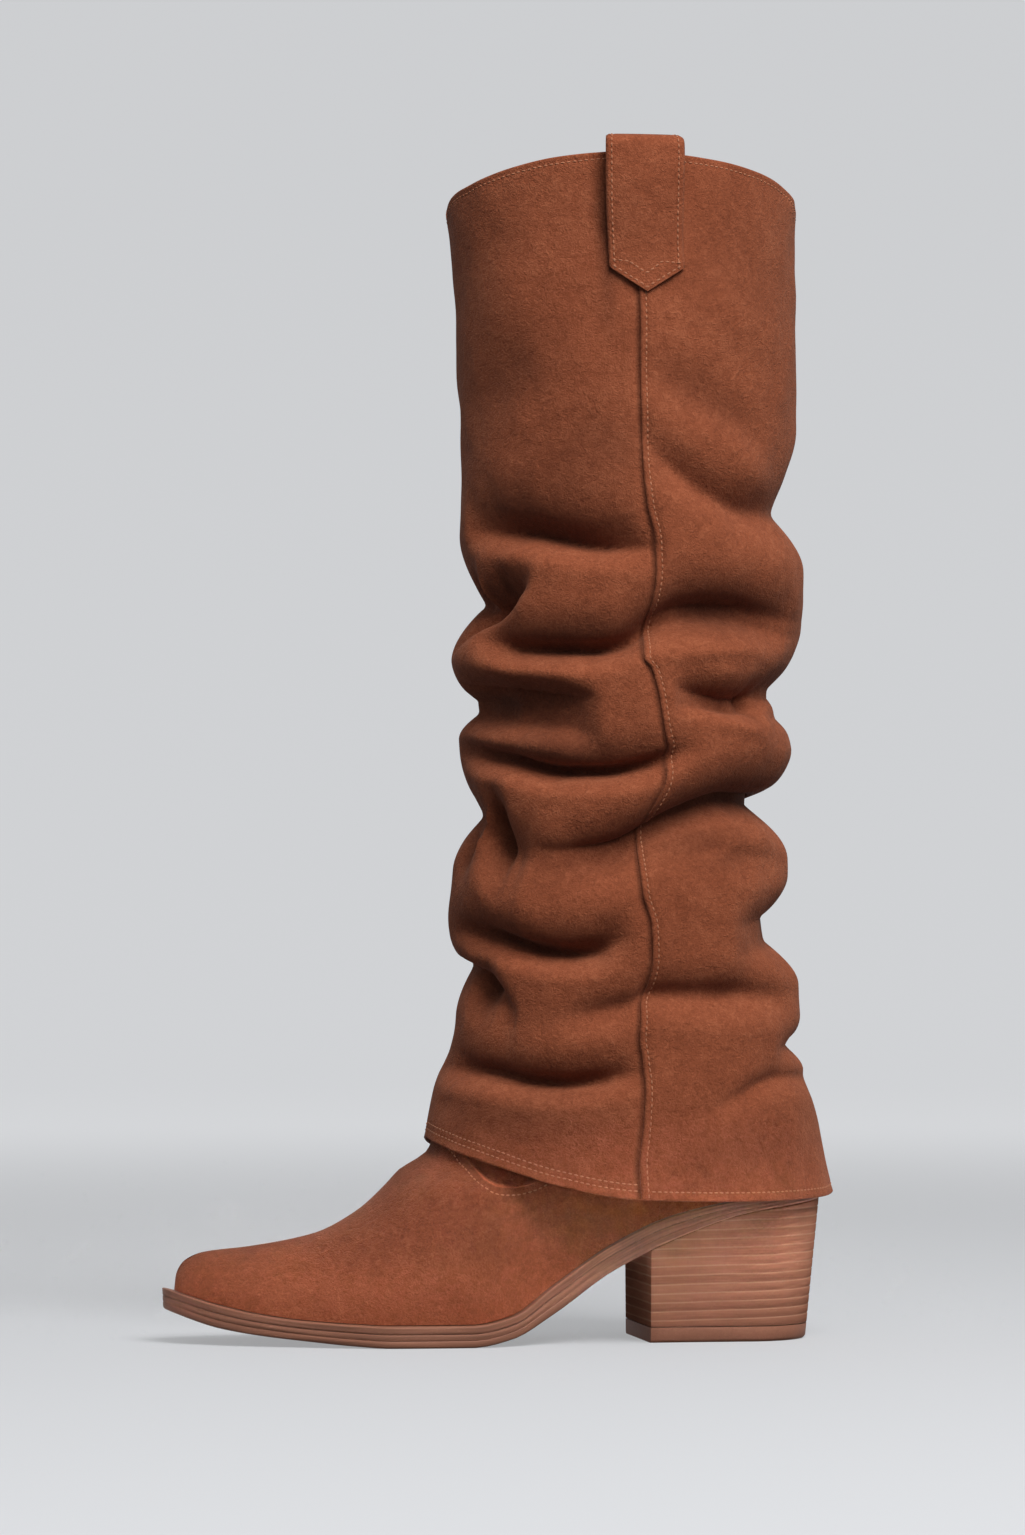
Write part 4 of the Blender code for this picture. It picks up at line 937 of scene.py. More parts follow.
def make_upper(foot, shaft, suede, lining):
    wall, step = foot.upper_wall / MM, foot.vamp_step / MM
    last = len(UPPER_ROWS["front"]) - 1
    vamp = np.linspace(0, VAMP_EDGE_ROW, VAMP_ROWS)
    rows = np.concatenate([vamp, np.linspace(VAMP_EDGE_ROW + 1, last, ANKLE_ROWS)])
    base = np.array([upper_loop(row, shaft.wall / MM + UPPER_ROOM) for row in rows])
    turns = leg_turn(base[-1])
    flare = shaft_at(turns, np.full(len(turns), ANKLE_JOIN_Z), shaft, False, shaft.wall / MM + GAP, True)
    for k, share in enumerate(FLARE, 1):
        base[-k] = base[-k] + (flare - base[-k]) * share * np.array([1, 1, k == 1])
    steps = np.interp(rows, np.arange(last + 1), UPPER_ROWS["step"])
    along = ease(*VAMP_STEP_FROM, base[:, :, 0]) * (1 - ease(*VAMP_STEP_FADE, base[:, :, 0]))
    normal = surface_normals(base, RIDGE_REACH)
    under = np.maximum(steps, ease(*LINING_DIP, rows) * (rows <= VAMP_EDGE_ROW))
    deeper = normal * (step * under[:, None] * along)[:, :, None]
    counter = ring(STATION_SHARE, STATION_SHARE) >= COUNTER_SHARE
    shown = 1 - ease(*COUNTER_END, base[:, :, 2] - hem_height(leg_turn(base)))
    behind = step * steps[:, None] * along - foot.counter / MM * counter * shown
    outer = base - normal * behind[:, :, None]
    outer[0, :, 2] = base[0, :, 2]
    picked = some_rows(len(rows))
    depths = (wall - LINING_THICK, wall - LINING_THICK + COVER_SINK, wall)
    inner, cover, inside = ((base - deeper - normal * depth)[picked] for depth in depths)
    for face in (inner, cover, inside):
        face[0, :, 2], face[-1, :, 2] = base[0, :, 2], base[-1, :, 2]
    loops = shell_loops(outer, inner, 0.0)
    piece = add_piece("upper_suede", loops, suede, closed=True)
    painted_shading = np.zeros((len(loops), base.shape[1], 3))
    # painted shade on top of the vamp and the toe, fading out lower down and towards the back
    front = 1 - ease(*VAMP_PAINTED_SHADE_END, base[:, :, 0])
    painted_shading[:len(rows), :, 0] = VAMP_PAINTED_SHADE * front * ease(*VAMP_PAINTED_SHADE_RISE, base[:, :, 2])
    # a paler line along the vamp's cut edge: partly its own tone, partly a painted highlight
    painted_shading[VAMP_ROWS - 1, :, 0] = CUT_EDGE_TONE_AND_HIGHLIGHT * along[VAMP_ROWS - 1]
    set_vectors(piece, "painted_shading", painted_shading.reshape(-1, 3))
    settle(piece, "suede", "upper")
    settle(add_piece("upper_lining", shell_loops(cover, inside, 0.0), lining, closed=True), "insole")
    return outer[:VAMP_ROWS], normal[:VAMP_ROWS]


VAMP_STITCH = 3.1         # from the vamp's edge down to its stitching
VAMP_STITCH_SPAN = (-116.0, -66.0)    # along x, the edge is hidden under the shaft in front and behind


def vamp_stitching(face, normal):
    """The rows of stitches along the vamp's scalloped edge on the outer and the inner side."""
    paths = StitchPaths()
    edge, out = face[-1], normal[-1]
    ahead = np.roll(edge, -2, 0) - np.roll(edge, 2, 0)
    below = np.cross(out, ahead)
    below *= np.sign((below * (face[-2] - edge)).sum(1))[:, None] / np.linalg.norm(below, axis=1)[:, None]
    aims = edge + below * VAMP_STITCH
    spots, outs = face.reshape(-1, 3), normal.reshape(-1, 3)
    nearest = [int(np.argmin(((spots - aim) ** 2).sum(1))) for aim in aims]
    outward = outs[nearest]
    points = aims - outward * ((aims - spots[nearest]) * outward).sum(1)[:, None]
    shown = (points[:, 0] > VAMP_STITCH_SPAN[0]) & (points[:, 0] < VAMP_STITCH_SPAN[1])
    for side in (np.arange(1, FOOT_HALF), np.arange(FOOT_HALF + 1, len(points))):
        row = side[shown[side]]
        paths.add(points[row], outward[row])
    return paths


def welt_reach(foot):
    """How far the welt stands out, wide round the forefoot and narrow at waist and heel."""
    x = feather_line()[:, 0]
    return (foot.welt_toe + (foot.welt_heel - foot.welt_toe) * ease(*WAIST, x)) / MM


def sole_loop(reach, share):
    """A loop round the sole's edge: how far it stands out, and its share of the way up from tread to welt."""
    plan = grown(feather_line(), reach)
    low, high = sole_height("tread", plan[:, 0]), sole_height("top", plan[:, 0])
    return np.concatenate([plan, (low + (high - low) * share)[:, None]], 1)


GRAIN_STEP = 0.5          # height of the streaks from one loop of the sole's edge to the next
SOLE_UNDER = 8.0          # the outsole's face underneath starts this far inside its edge
SOCK = table("inset lift", [(1.2, 0.35), (0.8, 0.9), (0.8, 2.2), (1.8, 2.75)])
SOCK_TOE = 9              # the insole ends this far from the upper's toe and heel
SOCK_HEEL = 2


def edge_grain(loops):
    """Run along the sole and height for each point, which the streaks of its edge follow."""
    loops = np.array(loops)
    step = np.linalg.norm(np.diff(loops[:, :, :2], axis=1, prepend=loops[:, :1, :2]), axis=2)
    run = np.cumsum(step, axis=1)
    height = np.broadcast_to(np.arange(len(loops))[:, None], run.shape)
    return np.stack([run * MM, height * GRAIN_STEP * MM, np.zeros_like(run)], -1).reshape(-1, 3)


def make_sole(foot, edge, lining):
    reach = welt_reach(foot)
    inner = np.zeros(len(reach))
    under = [sole_loop(inner - SOLE_UNDER, 0.0)]
    for name, node, first, profile in (
        ("outsole_leather", "outsole", under, OUTSOLE_EDGE),
        ("welt_strip", "welt", [], WELT_EDGE),
    ):
        loops = [*first, sole_loop(inner, profile["share"][0])]
        loops += [sole_loop(reach + out, share) for out, share in zip(*profile.values())]
        loops.append(sole_loop(inner, profile["share"][-1]))
        piece = add_piece(name, loops, edge)
        set_vectors(piece, "grain", edge_grain(loops))
        settle(piece, "sole_edge", node)
    loops = []
    for inset, lift in zip(*SOCK.values()):
        loop = sole_loop(inner - foot.upper_wall / MM - inset, 1.0)
        loop[:, 0] = np.clip(loop[:, 0], TOE_X + SOCK_TOE, HEEL_X - SOCK_HEEL)
        loop[:, 2] = sole_height("top", loop[:, 0]) + lift
        loops.append(loop)
    settle(add_piece("insole_sock", loops, lining), "insole", "insole")


HEEL_STEPS = 70
HEEL_CHAMFER = 0.9        # at the two corners of the heel's breast
CHAMFER_IN = 0.15         # how far its middle lies inside the breast and the side
CHAMFER_SIDE = 0.25
LAYER_START = 0.62        # the first line between layers, in layers over the lift
LAYER_GROOVE = ((-0.42, 0.0), (-0.14, 0.16), (0.14, 0.16), (0.42, 0.0))   # heights at a line, and its depth
GROOVE_FADE = 1.2         # under the seat the grooves fade over this height
LEAST_STEP = 0.012        # height between two loops that the seat presses together
STACK_BEVEL = (0.12, 0.3)  # inset and height of the stack's lower edge
LIFT_PROFILE = ((0.0, 1.6), (0.15, 0.9), (0.6, 0.35), (1.3, 0.0), (LIFT_Z - 0.2, 0.0), (LIFT_Z, 0.12))
HEEL_SHARP = 40           # degrees


def heel_plan(foot):
    """Half of the heel seat's plan, from the breast to the middle of the back: x and half width."""
    loop = grown(feather_line(), welt_reach(foot) - HEEL_INSET)[: FOOT_HALF + 1]
    x, half = loop[:, 0], np.abs(loop[:, 1])
    turn = np.linspace(0, np.pi / 2, HEEL_STEPS)
    px = HEEL_BREAST_X + (x[-1] - HEEL_BREAST_X) * np.sin(turn)
    py = np.interp(px, x, half)
    py[-1] = 0
    rest = np.maximum(px, HEEL_BREAST_X + HEEL_CHAMFER)[1:]
    px = np.concatenate([[HEEL_BREAST_X, HEEL_BREAST_X + CHAMFER_IN], rest])
    py = np.concatenate([[py[0] - HEEL_CHAMFER, py[0] - CHAMFER_SIDE], py[1:]])
    return px, py


def heel_loop(x, half, level, groove=0.0):
    """One loop of the heel at a height, drawn in by its taper and by a groove."""
    shrink = HEEL_TAPER + (1 - HEEL_TAPER) * level / HEEL_SEAT_Z
    px = HEEL_BREAST_X + (x - HEEL_BREAST_X) * shrink
    length = np.hypot(px - px.mean(), half) + 1e-9
    px = px - groove * np.clip((px - px.mean()) / length, 0, 1)
    py = np.clip(half * shrink - groove * half / length, 0, None)
    lateral = np.stack([px, -py, level], 1)
    medial = np.stack([px, py, level], 1)
    return np.concatenate([lateral, medial[-2::-1]])


def make_heel(foot, stack, rubber):
    x, half = heel_plan(foot)
    tops = sole_height("tread", x) - GAP
    rise = math.tan(foot.layer_tilt)
    layer = foot.heel_layer / MM
    base = LIFT_Z + GAP

    def flat_loop(z, inset=0.0):
        return heel_loop(x, half, np.full(len(x), z), inset)

    inset, bevel = STACK_BEVEL
    loops = [flat_loop(base, inset), flat_loop(base + bevel)]
    marks = []
    for k in range(int((HEEL_SEAT_Z - base) / layer) + 2):
        mark = base + (k + LAYER_START) * layer + (x - HEEL_BREAST_X) * rise
        marks += [(mark + height, groove) for height, groove in LAYER_GROOVE]
    for k, (mark, groove) in enumerate(marks):
        limit = tops - (len(marks) - k) * LEAST_STEP
        level = np.minimum(mark, limit)
        loops.append(heel_loop(x, half, level, groove * ease(0.0, GROOVE_FADE, limit - mark)))
    loops.append(heel_loop(x, half, tops))
    piece = add_piece("heel_stack_layers", loops, stack, tipped=False, sharp=HEEL_SHARP)
    settle(piece, "stacked_heel", "heel_stack")
    loops = [flat_loop(z, inset) for z, inset in LIFT_PROFILE]
    piece = add_piece("heel_lift_rubber", loops, rubber, tipped=False, sharp=HEEL_SHARP)
    settle(piece, "heel_lift", "heel_lift")


STRAP_WIDTH = 30.2
STRAP_TAPER = 0.06        # it narrows by this share up to the collar
STRAP_FORWARD = -2.4      # degrees from the side seam forward to the strap's middle
STRAP_THICK = 1.7
STRAP_POINT_RISE = 9.8    # from the tip to its shoulders
STRAP_CROWN_POWER = 0.4   # under 1 the loop is flat on top
STRAP_INNER_END_Z = 428.0
STRAP_STAND_OFF = 5.4     # the strap's bow away from the shaft at the collar, outside and inside
STRAP_INNER_STAND_OFF = 2.2
STRAP_GAP = 0.5
STRAP_SPRING = 1.0        # the loop starts to bend over this far under the collar
STRAP_BOW_FROM = 0.08     # share of the way up where the strap starts to stand off
STRAP_ROWS_UP = 30        # rows of faces up the outside, over the collar and down inside
STRAP_ROWS_OVER = 25
STRAP_ROWS_DOWN = 16
STRAP_TURN = (6, 174)     # degrees of the bend over the collar
STRAP_ROUND = 0.045       # share of half its width over which its long edges are rounded
STRAP_EDGE = 0.05         # the least share of its thickness there, squared
STRAP_SHARP = 70          # degrees
STRAP_STITCH_SHARE = 0.84  # where its stitching lies, as a share of half its width
STRAP_GROOVE = (0.22, 0.05)   # depth and half width of the groove along it
STRAPS = (("outer", OUTER_SEAM - STRAP_FORWARD), ("inner", INNER_SEAM + STRAP_FORWARD))


def strap_path(across, shaft):
    """Heights and insets of one line along a pull strap, from its point over the collar and down inside."""
    half = STRAP_THICK / 2
    low = STRAP_POINT_Z + STRAP_POINT_RISE * abs(across)
    crown, spring = STRAP_TOP_Z - half, COLLAR_SIDE_Z - STRAP_SPRING
    seated = shaft.wall / MM + STRAP_GAP + half
    t = np.linspace(0, 1, STRAP_ROWS_UP)
    up_z = low + (spring - low) * t
    up_in = -(STRAP_GAP + half + STRAP_STAND_OFF * ease(STRAP_BOW_FROM, 1, t))
    outside, inside = up_in[-1], seated + STRAP_INNER_STAND_OFF
    turn = np.radians(np.linspace(*STRAP_TURN, STRAP_ROWS_OVER))
    over_z = spring + (crown - spring) * np.sin(turn) ** STRAP_CROWN_POWER
    over_in = (outside + inside) / 2 - (inside - outside) / 2 * np.cos(turn)
    t = np.linspace(0, 1, STRAP_ROWS_DOWN)
    down_z = spring + (STRAP_INNER_END_Z - spring) * t
    down_in = seated + STRAP_INNER_STAND_OFF * (1 - ease(0, 1, t))
    return np.concatenate([up_z, over_z, down_z]), np.concatenate([up_in, over_in, down_in])


def strap_lines(seam, shaft, steps=25):
    """The middle of a strap's thickness as lines across its width, and the outward directions there."""
    across = np.linspace(-1, 1, steps)
    reach = (SHAFT["back"][-1] - SHAFT["front"][-1]) / 2
    wide = np.degrees(np.arcsin(STRAP_WIDTH / 2 / reach))
    lines = []
    for a in across:
        z, inset = strap_path(a, shaft)
        turn = seam + wide * a * (1 - STRAP_TAPER * ease(STRAP_POINT_Z, COLLAR_SIDE_Z, z))
        at = shaft_at(turn, np.minimum(z, COLLAR_SIDE_Z), shaft, False, inset)
        at[:, 2] += np.maximum(z - COLLAR_SIDE_Z, 0)
        lines.append(at)
    lines = np.array(lines)
    normal = np.cross(np.gradient(lines, axis=0), np.gradient(lines, axis=1))
    return lines, normal / np.linalg.norm(normal, axis=2)[:, :, None]


def make_strap(name, node, seam, shaft, suede):
    """A pull strap that straddles the collar over a side seam, with softly rounded edges."""
    lines, normal = strap_lines(seam, shaft)
    side = np.abs(np.linspace(-1, 1, len(lines)))
    edge = np.clip((side - (1 - STRAP_ROUND)) / STRAP_ROUND, 0, 1)
    thick = (STRAP_THICK / 2) * np.sqrt(np.clip(1 - edge ** 2, STRAP_EDGE, 1))[:, None, None]
    groove = swell(side - STRAP_STITCH_SHARE, *STRAP_GROOVE)[:, None, None]
    outer = lines + normal * (thick - groove)
    inner = lines - normal * thick
    loops = np.concatenate([outer, inner[::-1]]).transpose(1, 0, 2)
    piece = add_piece(name, loops, suede, tipped=False, sharp=STRAP_SHARP)
    settle(piece, "suede", node)


class StitchPaths:
    """Stitch rows gathered as lines of points with their outward directions."""

    def __init__(self):
        self.points, self.outward, self.edges = [], [], []

    def add(self, points, outward, closed=False):
        first = sum(len(p) for p in self.points)
        count = len(points)
        self.points.append(np.asarray(points))
        self.outward.append(np.asarray(outward))
        self.edges += [(first + i, first + i + 1) for i in range(count - 1)]
        if closed:
            self.edges.append((first + count - 1, first))

    def guide(self, name):
        mesh = bpy.data.meshes.new(name)
        mesh.from_pydata((np.concatenate(self.points) * MM).tolist(), self.edges, [])
        guide = place_object(name, mesh)
        set_vectors(guide, "outward", np.concatenate(self.outward))
        return guide


PATH_STEP = 0.5           # degrees and height over which a path's outward direction is taken
FRONT_HEM = (-88.6, 88.6)  # the hem's stitching from seam to seam, in degrees
BACK_HEM = (93.4, 266.6)
HEM_POINTS = 160
COLLAR_POINTS = 240
SEAM_POINTS = 420
SEAM_ENDS = (1.2, 8)      # the seam's stitching ends this far from hem and collar


def shaft_path(turn, z, shaft):
    """Points on the shaft's outer face with their outward directions."""
    turn, z = np.broadcast_arrays(np.asarray(turn, float), np.asarray(z, float))
    here = shaft_at(turn, z, shaft)
    near = ((PATH_STEP, 0), (-PATH_STEP, 0), (0, PATH_STEP), (0, -PATH_STEP))
    plain = [shaft_at(turn + a, z + b, shaft, edges=False) for a, b in near]
    normal = np.cross(plain[0] - plain[1], plain[2] - plain[3])
    return here, normal / np.linalg.norm(normal, axis=1)[:, None]


def shaft_stitching(shaft):
    paths = StitchPaths()
    all_round = np.linspace(0, 360, COLLAR_POINTS, endpoint=False)
    paths.add(*shaft_path(all_round, collar_height(all_round) - COLLAR_STITCH, shaft), closed=True)
    for seam, side in ((OUTER_SEAM, 1), (INNER_SEAM, -1)):
        turn = seam + side * SEAM_STITCH
        low, high = float(hem_height(turn)) + SEAM_ENDS[0], COLLAR_SIDE_Z - SEAM_ENDS[1]
        z = np.linspace(low, high, SEAM_POINTS)
        paths.add(*shaft_path(np.full(len(z), turn), z, shaft))
    front = np.linspace(*FRONT_HEM, HEM_POINTS)
    for rise in (HEM_STITCH, HEM_STITCH + HEM_SECOND):
        paths.add(*shaft_path(front, hem_height(front) + rise, shaft))
    back = np.linspace(*BACK_HEM, HEM_POINTS)
    paths.add(*shaft_path(back, hem_height(back) + HEM_STITCH, shaft))
    return paths


# The pointed stitching across a strap: the place across its width and the share of the way to the collar
STRAP_V = table("across along", [
    (-0.84, 0.165), (-0.45, 0.155), (-0.08, 0.085), (0.0, 0.075), (0.08, 0.085), (0.40, 0.155), (0.84, 0.15),
])
STRAP_V_POINTS = 60
STRAP_V_RISE = 3.4        # it lies this much higher
STRAP_SEWN = slice(1, 46)  # the rows along which its long edges are sewn
STRAP_TIP_ROW = 1
STITCH_SINK = 0.1         # how far the stitches lie in the leather


def strap_stitching(shaft):
    paths = StitchPaths()
    for _, seam in STRAPS:
        lines, normal = strap_lines(seam, shaft, 51)
        face = lines + normal * (STRAP_THICK / 2 - STITCH_SINK)
        count = len(lines)
        first = round((1 - STRAP_STITCH_SHARE) / 2 * (count - 1))
        for line in (first, count - 1 - first):
            paths.add(face[line, STRAP_SEWN], normal[line, STRAP_SEWN])
        tip = range(first, count - first)
        paths.add(face[tip, STRAP_TIP_ROW], normal[tip, STRAP_TIP_ROW])
        across = np.linspace(-STRAP_STITCH_SHARE, STRAP_STITCH_SHARE, STRAP_V_POINTS)
        along = np.interp(across, STRAP_V["across"], STRAP_V["along"])
        at, out = [], []
        for a, share in zip(across, along):
            column = (a + 1) / 2 * (count - 1)
            lower = min(int(column), count - 2)
            mix = column - lower
            line = face[lower] * (1 - mix) + face[lower + 1] * mix
            aim = normal[lower] * (1 - mix) + normal[lower + 1] * mix
            z = STRAP_POINT_Z + share * (COLLAR_SIDE_Z - STRAP_POINT_Z) + STRAP_V_RISE
            row = np.interp(z, line[:STRAP_ROWS_UP, 2], np.arange(STRAP_ROWS_UP))
            low_row = int(row)
            part = row - low_row
            at.append(line[low_row] * (1 - part) + line[low_row + 1] * part)
            out.append(aim[low_row])
        paths.add(at, out)
    return paths


class Wiring:
    """Short ways to add nodes to a node tree and to join them."""

    def __init__(self, tree):
        self.tree = tree
        self.link = tree.links.new

    def feed(self, socket, value):
        """A socket takes a value or follows another node's output."""
        if isinstance(value, bpy.types.NodeSocket):
            self.link(value, socket)
        else:
            socket.default_value = value

    def node(self, kind, **values):
        """A new node with some of its inputs fed. An underscore stands for a space in their names."""
        made = self.tree.nodes.new(kind)
        for name, value in values.items():
            self.feed(made.inputs[name.replace("_", " ")], value)
        return made

    def attribute(self, name):
        made = self.node("ShaderNodeAttribute")
        made.attribute_name = name
        return made.outputs["Vector"]

    def place(self, kind="Object"):
        return self.node("ShaderNodeTexCoord").outputs[kind]

    def split(self, vector):
        return self.node("ShaderNodeSeparateXYZ", Vector=vector).outputs

    def noise(self, vector, **values):
        return self.node("ShaderNodeTexNoise", Vector=vector, **values).outputs["Fac"]

    def maths(self, kind, a, b=0.0):
        made = self.node("ShaderNodeMath")
        made.operation = kind
        for socket, value in zip(made.inputs, (a, b)):
            self.feed(socket, value)
        return made.outputs["Value"]

    def ranged(self, value, kind="LINEAR", clamp=True, **values):
        """A value brought from one range to another."""
        made = self.node("ShaderNodeMapRange", Value=value, **values)
        made.interpolation_type = kind
        made.clamp = clamp
        return made.outputs["Result"]

    def mixed(self, factor, a, b):
        """A mix of two colours."""
        made = self.node("ShaderNodeMix")
        made.data_type = "RGBA"
        for name, value in (("Factor", factor), ("A", a), ("B", b)):
            self.feed(made.inputs[name], value)
        return made.outputs["Result"]


def add_sockets(tree, way, kind, *names):
    """Inputs or outputs of one kind for a node group."""
    for name in names:
        tree.interface.new_socket(name, in_out=way, socket_type="NodeSocket" + kind)


def socket_of(tree, name):
    """The identifier of a tree's input."""
    return next(s.identifier for s in tree.interface.items_tree if s.in_out == "INPUT" and s.name == name)


STITCH_SIZES = ("Pitch", "Length", "Width", "Height")


def stitch_tree():
    """A node tree that lays one stitch after another along its lines, turned to their outward directions."""
    tree = bpy.data.node_groups.new("stitch_rows", "GeometryNodeTree")
    add_sockets(tree, "INPUT", "Geometry", "Lines")
    add_sockets(tree, "INPUT", "Float", *STITCH_SIZES)
    add_sockets(tree, "INPUT", "Material", "Thread")
    add_sockets(tree, "OUTPUT", "Geometry", "Stitches")
    wire = Wiring(tree)
    given = wire.node("NodeGroupInput").outputs
    curve = wire.node("GeometryNodeMeshToCurve", Mesh=given["Lines"]).outputs["Curve"]
    spaced = wire.node("GeometryNodeResampleCurve", Curve=curve)
    spaced.mode = "LENGTH"
    wire.link(given["Pitch"], spaced.inputs["Length"])
    tangent = wire.node("GeometryNodeInputTangent").outputs["Tangent"]
    outward = wire.node("GeometryNodeInputNamedAttribute", Name="outward")
    outward.data_type = "FLOAT_VECTOR"
    turned = wire.node("FunctionNodeAxesToRotation", Primary_Axis=tangent)
    turned.primary_axis, turned.secondary_axis = "X", "Z"
    wire.link(outward.outputs["Attribute"], turned.inputs["Secondary Axis"])
    bead = wire.node("GeometryNodeMeshUVSphere", Segments=8, Rings=5, Radius=0.5).outputs["Mesh"]
    size = wire.node("ShaderNodeCombineXYZ", X=given["Length"], Y=given["Width"], Z=given["Height"])
    placed = wire.node(
        "GeometryNodeInstanceOnPoints", Points=spaced.outputs["Curve"], Instance=bead,
        Rotation=turned.outputs["Rotation"], Scale=size.outputs["Vector"]).outputs["Instances"]
    real = wire.node("GeometryNodeRealizeInstances", Geometry=placed).outputs["Geometry"]
    rounded = wire.node("GeometryNodeSetShadeSmooth", Geometry=real).outputs["Geometry"]
    dyed = wire.node("GeometryNodeSetMaterial", Geometry=rounded, Material=given["Thread"])
    wire.node("NodeGroupOutput", Stitches=dyed.outputs["Geometry"])
    return tree


def add_stitches(name, paths, settings, thread):
    """The stitches of some rows as one plain mesh."""
    tree = bpy.data.node_groups.get("stitch_rows") or stitch_tree()
    guide = paths.guide(name + "_guide")
    modifier = guide.modifiers.new("stitches", "NODES")
    modifier.node_group = tree
    for label in STITCH_SIZES:
        modifier[socket_of(tree, label)] = getattr(settings, label.lower())
    modifier[socket_of(tree, "Thread")] = thread
    graph = bpy.context.evaluated_depsgraph_get()
    mesh = bpy.data.meshes.new_from_object(guide.evaluated_get(graph))
    guide.modifiers.remove(modifier)
    bpy.data.objects.remove(guide)
    if not mesh.polygons:
        raise RuntimeError(f"{name}: no stitches were made")
    mesh.name = name
    settle(place_object(name, mesh), "suede")


PATCH_SHARE = 0.26        # shares of broad patches, mottle and single fibres in the nap's tone
MOTTLE_SHARE = 0.34
FIBRE_SHARE = 0.5
NAP_ROUGHNESS = 0.86


def nap_group():
    """Brushed nap: tone from broad patches to single fibres, and the height of the fibres."""
    found = bpy.data.node_groups.get("brushed_nap")
    if found:
        return found
    tree = bpy.data.node_groups.new("brushed_nap", "ShaderNodeTree")
    add_sockets(tree, "INPUT", "Float", "Scale")
    add_sockets(tree, "INPUT", "Color", "Shade", "Middle", "Rub")
    add_sockets(tree, "OUTPUT", "Color", "Color")
    add_sockets(tree, "OUTPUT", "Float", "Roughness", "Height")
    wire = Wiring(tree)
    maths, ranged = wire.maths, wire.ranged
    given = wire.node("NodeGroupInput").outputs
    place = wire.place()
    patches = wire.noise(place, Scale=26, Detail=3, Roughness=0.55, Distortion=0.6)
    mottle = wire.noise(place, Scale=190, Detail=4, Roughness=0.6, Distortion=0.8)
    fine = wire.noise(place, Scale=given["Scale"], Detail=2, Roughness=0.6, Distortion=1.4)
    tone = maths("ADD", maths("MULTIPLY", patches, PATCH_SHARE), maths("MULTIPLY", mottle, MOTTLE_SHARE))
    tone = maths("ADD", tone, maths("MULTIPLY", fine, FIBRE_SHARE))
    tone = ranged(tone, From_Min=0.40, From_Max=0.70)
    lower = wire.mixed(ranged(tone, From_Max=0.5), given["Shade"], given["Middle"])
    colour = wire.mixed(ranged(tone, From_Min=0.5), lower, given["Rub"])
    rough = maths("ADD", maths("MULTIPLY", mottle, 0.12), NAP_ROUGHNESS)
    height = maths("ADD", maths("MULTIPLY", fine, 0.7), maths("MULTIPLY", mottle, 0.6))
    wire.node("NodeGroupOutput", Color=colour, Roughness=rough, Height=height)
    return tree


def nap_outputs(wire, scale, *colours):
    """The outputs of a nap with its own scale and its colours from dark to light."""
    made = wire.node("ShaderNodeGroup")
    made.node_tree = nap_group()
    made.inputs["Scale"].default_value = scale
    for label, colour in zip(("Shade", "Middle", "Rub"), colours):
        made.inputs[label].default_value = colour
    return made.outputs


def shades(colour, *factors):
    """A colour made darker or lighter by some factors."""
    return [(*np.clip(np.array(colour) * factor, 0, 1), 1) for factor in factors]


def new_finish(name, roughness, shine):
    """An empty material, ways to add to its nodes, and the inputs of its shader."""
    made = bpy.data.materials.new(name)
    made.use_nodes = True
    shader = made.node_tree.nodes["Principled BSDF"].inputs
    shader["Roughness"].default_value = roughness
    shader["Metallic"].default_value = 0
    shader["Specular IOR Level"].default_value = shine
    return made, Wiring(made.node_tree), shader


def relief(wire, shader, height, strength, distance):
    """A bump from a height on the shader's normal."""
    made = wire.node("ShaderNodeBump", Strength=strength, Distance=distance, Height=height)
    wire.link(made.outputs["Normal"], shader["Normal"])


def suede_finish(leather):
    """Brushed suede whose colour is darkened by painted shade, and lightened by a painted highlight on the
    vamp's cut edge.
    """
    found = bpy.data.materials.get("brown_suede")
    if found:
        return found
    made, wire, shader = new_finish("brown_suede", 0.95, 0.15)
    colours = (leather.suede_dark, leather.suede, leather.suede_light)
    nap = nap_outputs(wire, leather.nap_scale, *((*colour, 1) for colour in colours))
    # the painted shading darkens the nap's colour, and lightens it where it is below 0
    painted_shading = wire.split(wire.attribute("painted_shading"))["X"]
    painted_factor = wire.ranged(painted_shading, clamp=False, To_Min=1.0, To_Max=1.0 - leather.painted_shade_strength)
    dark = wire.node("ShaderNodeVectorMath")
    dark.operation = "SCALE"
    wire.link(nap["Color"], dark.inputs[0])
    wire.link(painted_factor, dark.inputs["Scale"])
    wire.link(dark.outputs["Vector"], shader["Base Color"])
    wire.link(nap["Roughness"], shader["Roughness"])
    relief(wire, shader, nap["Height"], 0.7, 0.0012)
    shader["Sheen Weight"].default_value = leather.sheen
    shader["Sheen Roughness"].default_value = 0.5
    shader["Sheen Tint"].default_value = (1.0, 0.55, 0.36, 1)
    return made


def plain_finish(name, colour, roughness, scale, contrast, depth):
    """A leather, thread or rubber with a fine grain and some change of tone."""
    found = bpy.data.materials.get(name)
    if found:
        return found
    made, wire, shader = new_finish(name, roughness, 0.12)
    nap = nap_outputs(wire, scale, *shades(colour, 1 - contrast, 1.0, 1 + contrast))
    wire.link(nap["Color"], shader["Base Color"])
    relief(wire, shader, nap["Height"], 0.25, depth)
    return made


def lining_finish(leather):
    return plain_finish("lining_leather", leather.lining, 0.6, 900, 0.14, 0.0003)


def thread_finish(leather):
    return plain_finish("thread", leather.thread, 0.7, 2400, 0.2, 0.0001)


STREAK_STRETCH = (30, 1400, 1)
STREAK_TONES = (0.72, 1.35)       # the streaks' colours against the sole edge's own
STREAK_RELIEF = (0.2, 0.0002)     # strength and height


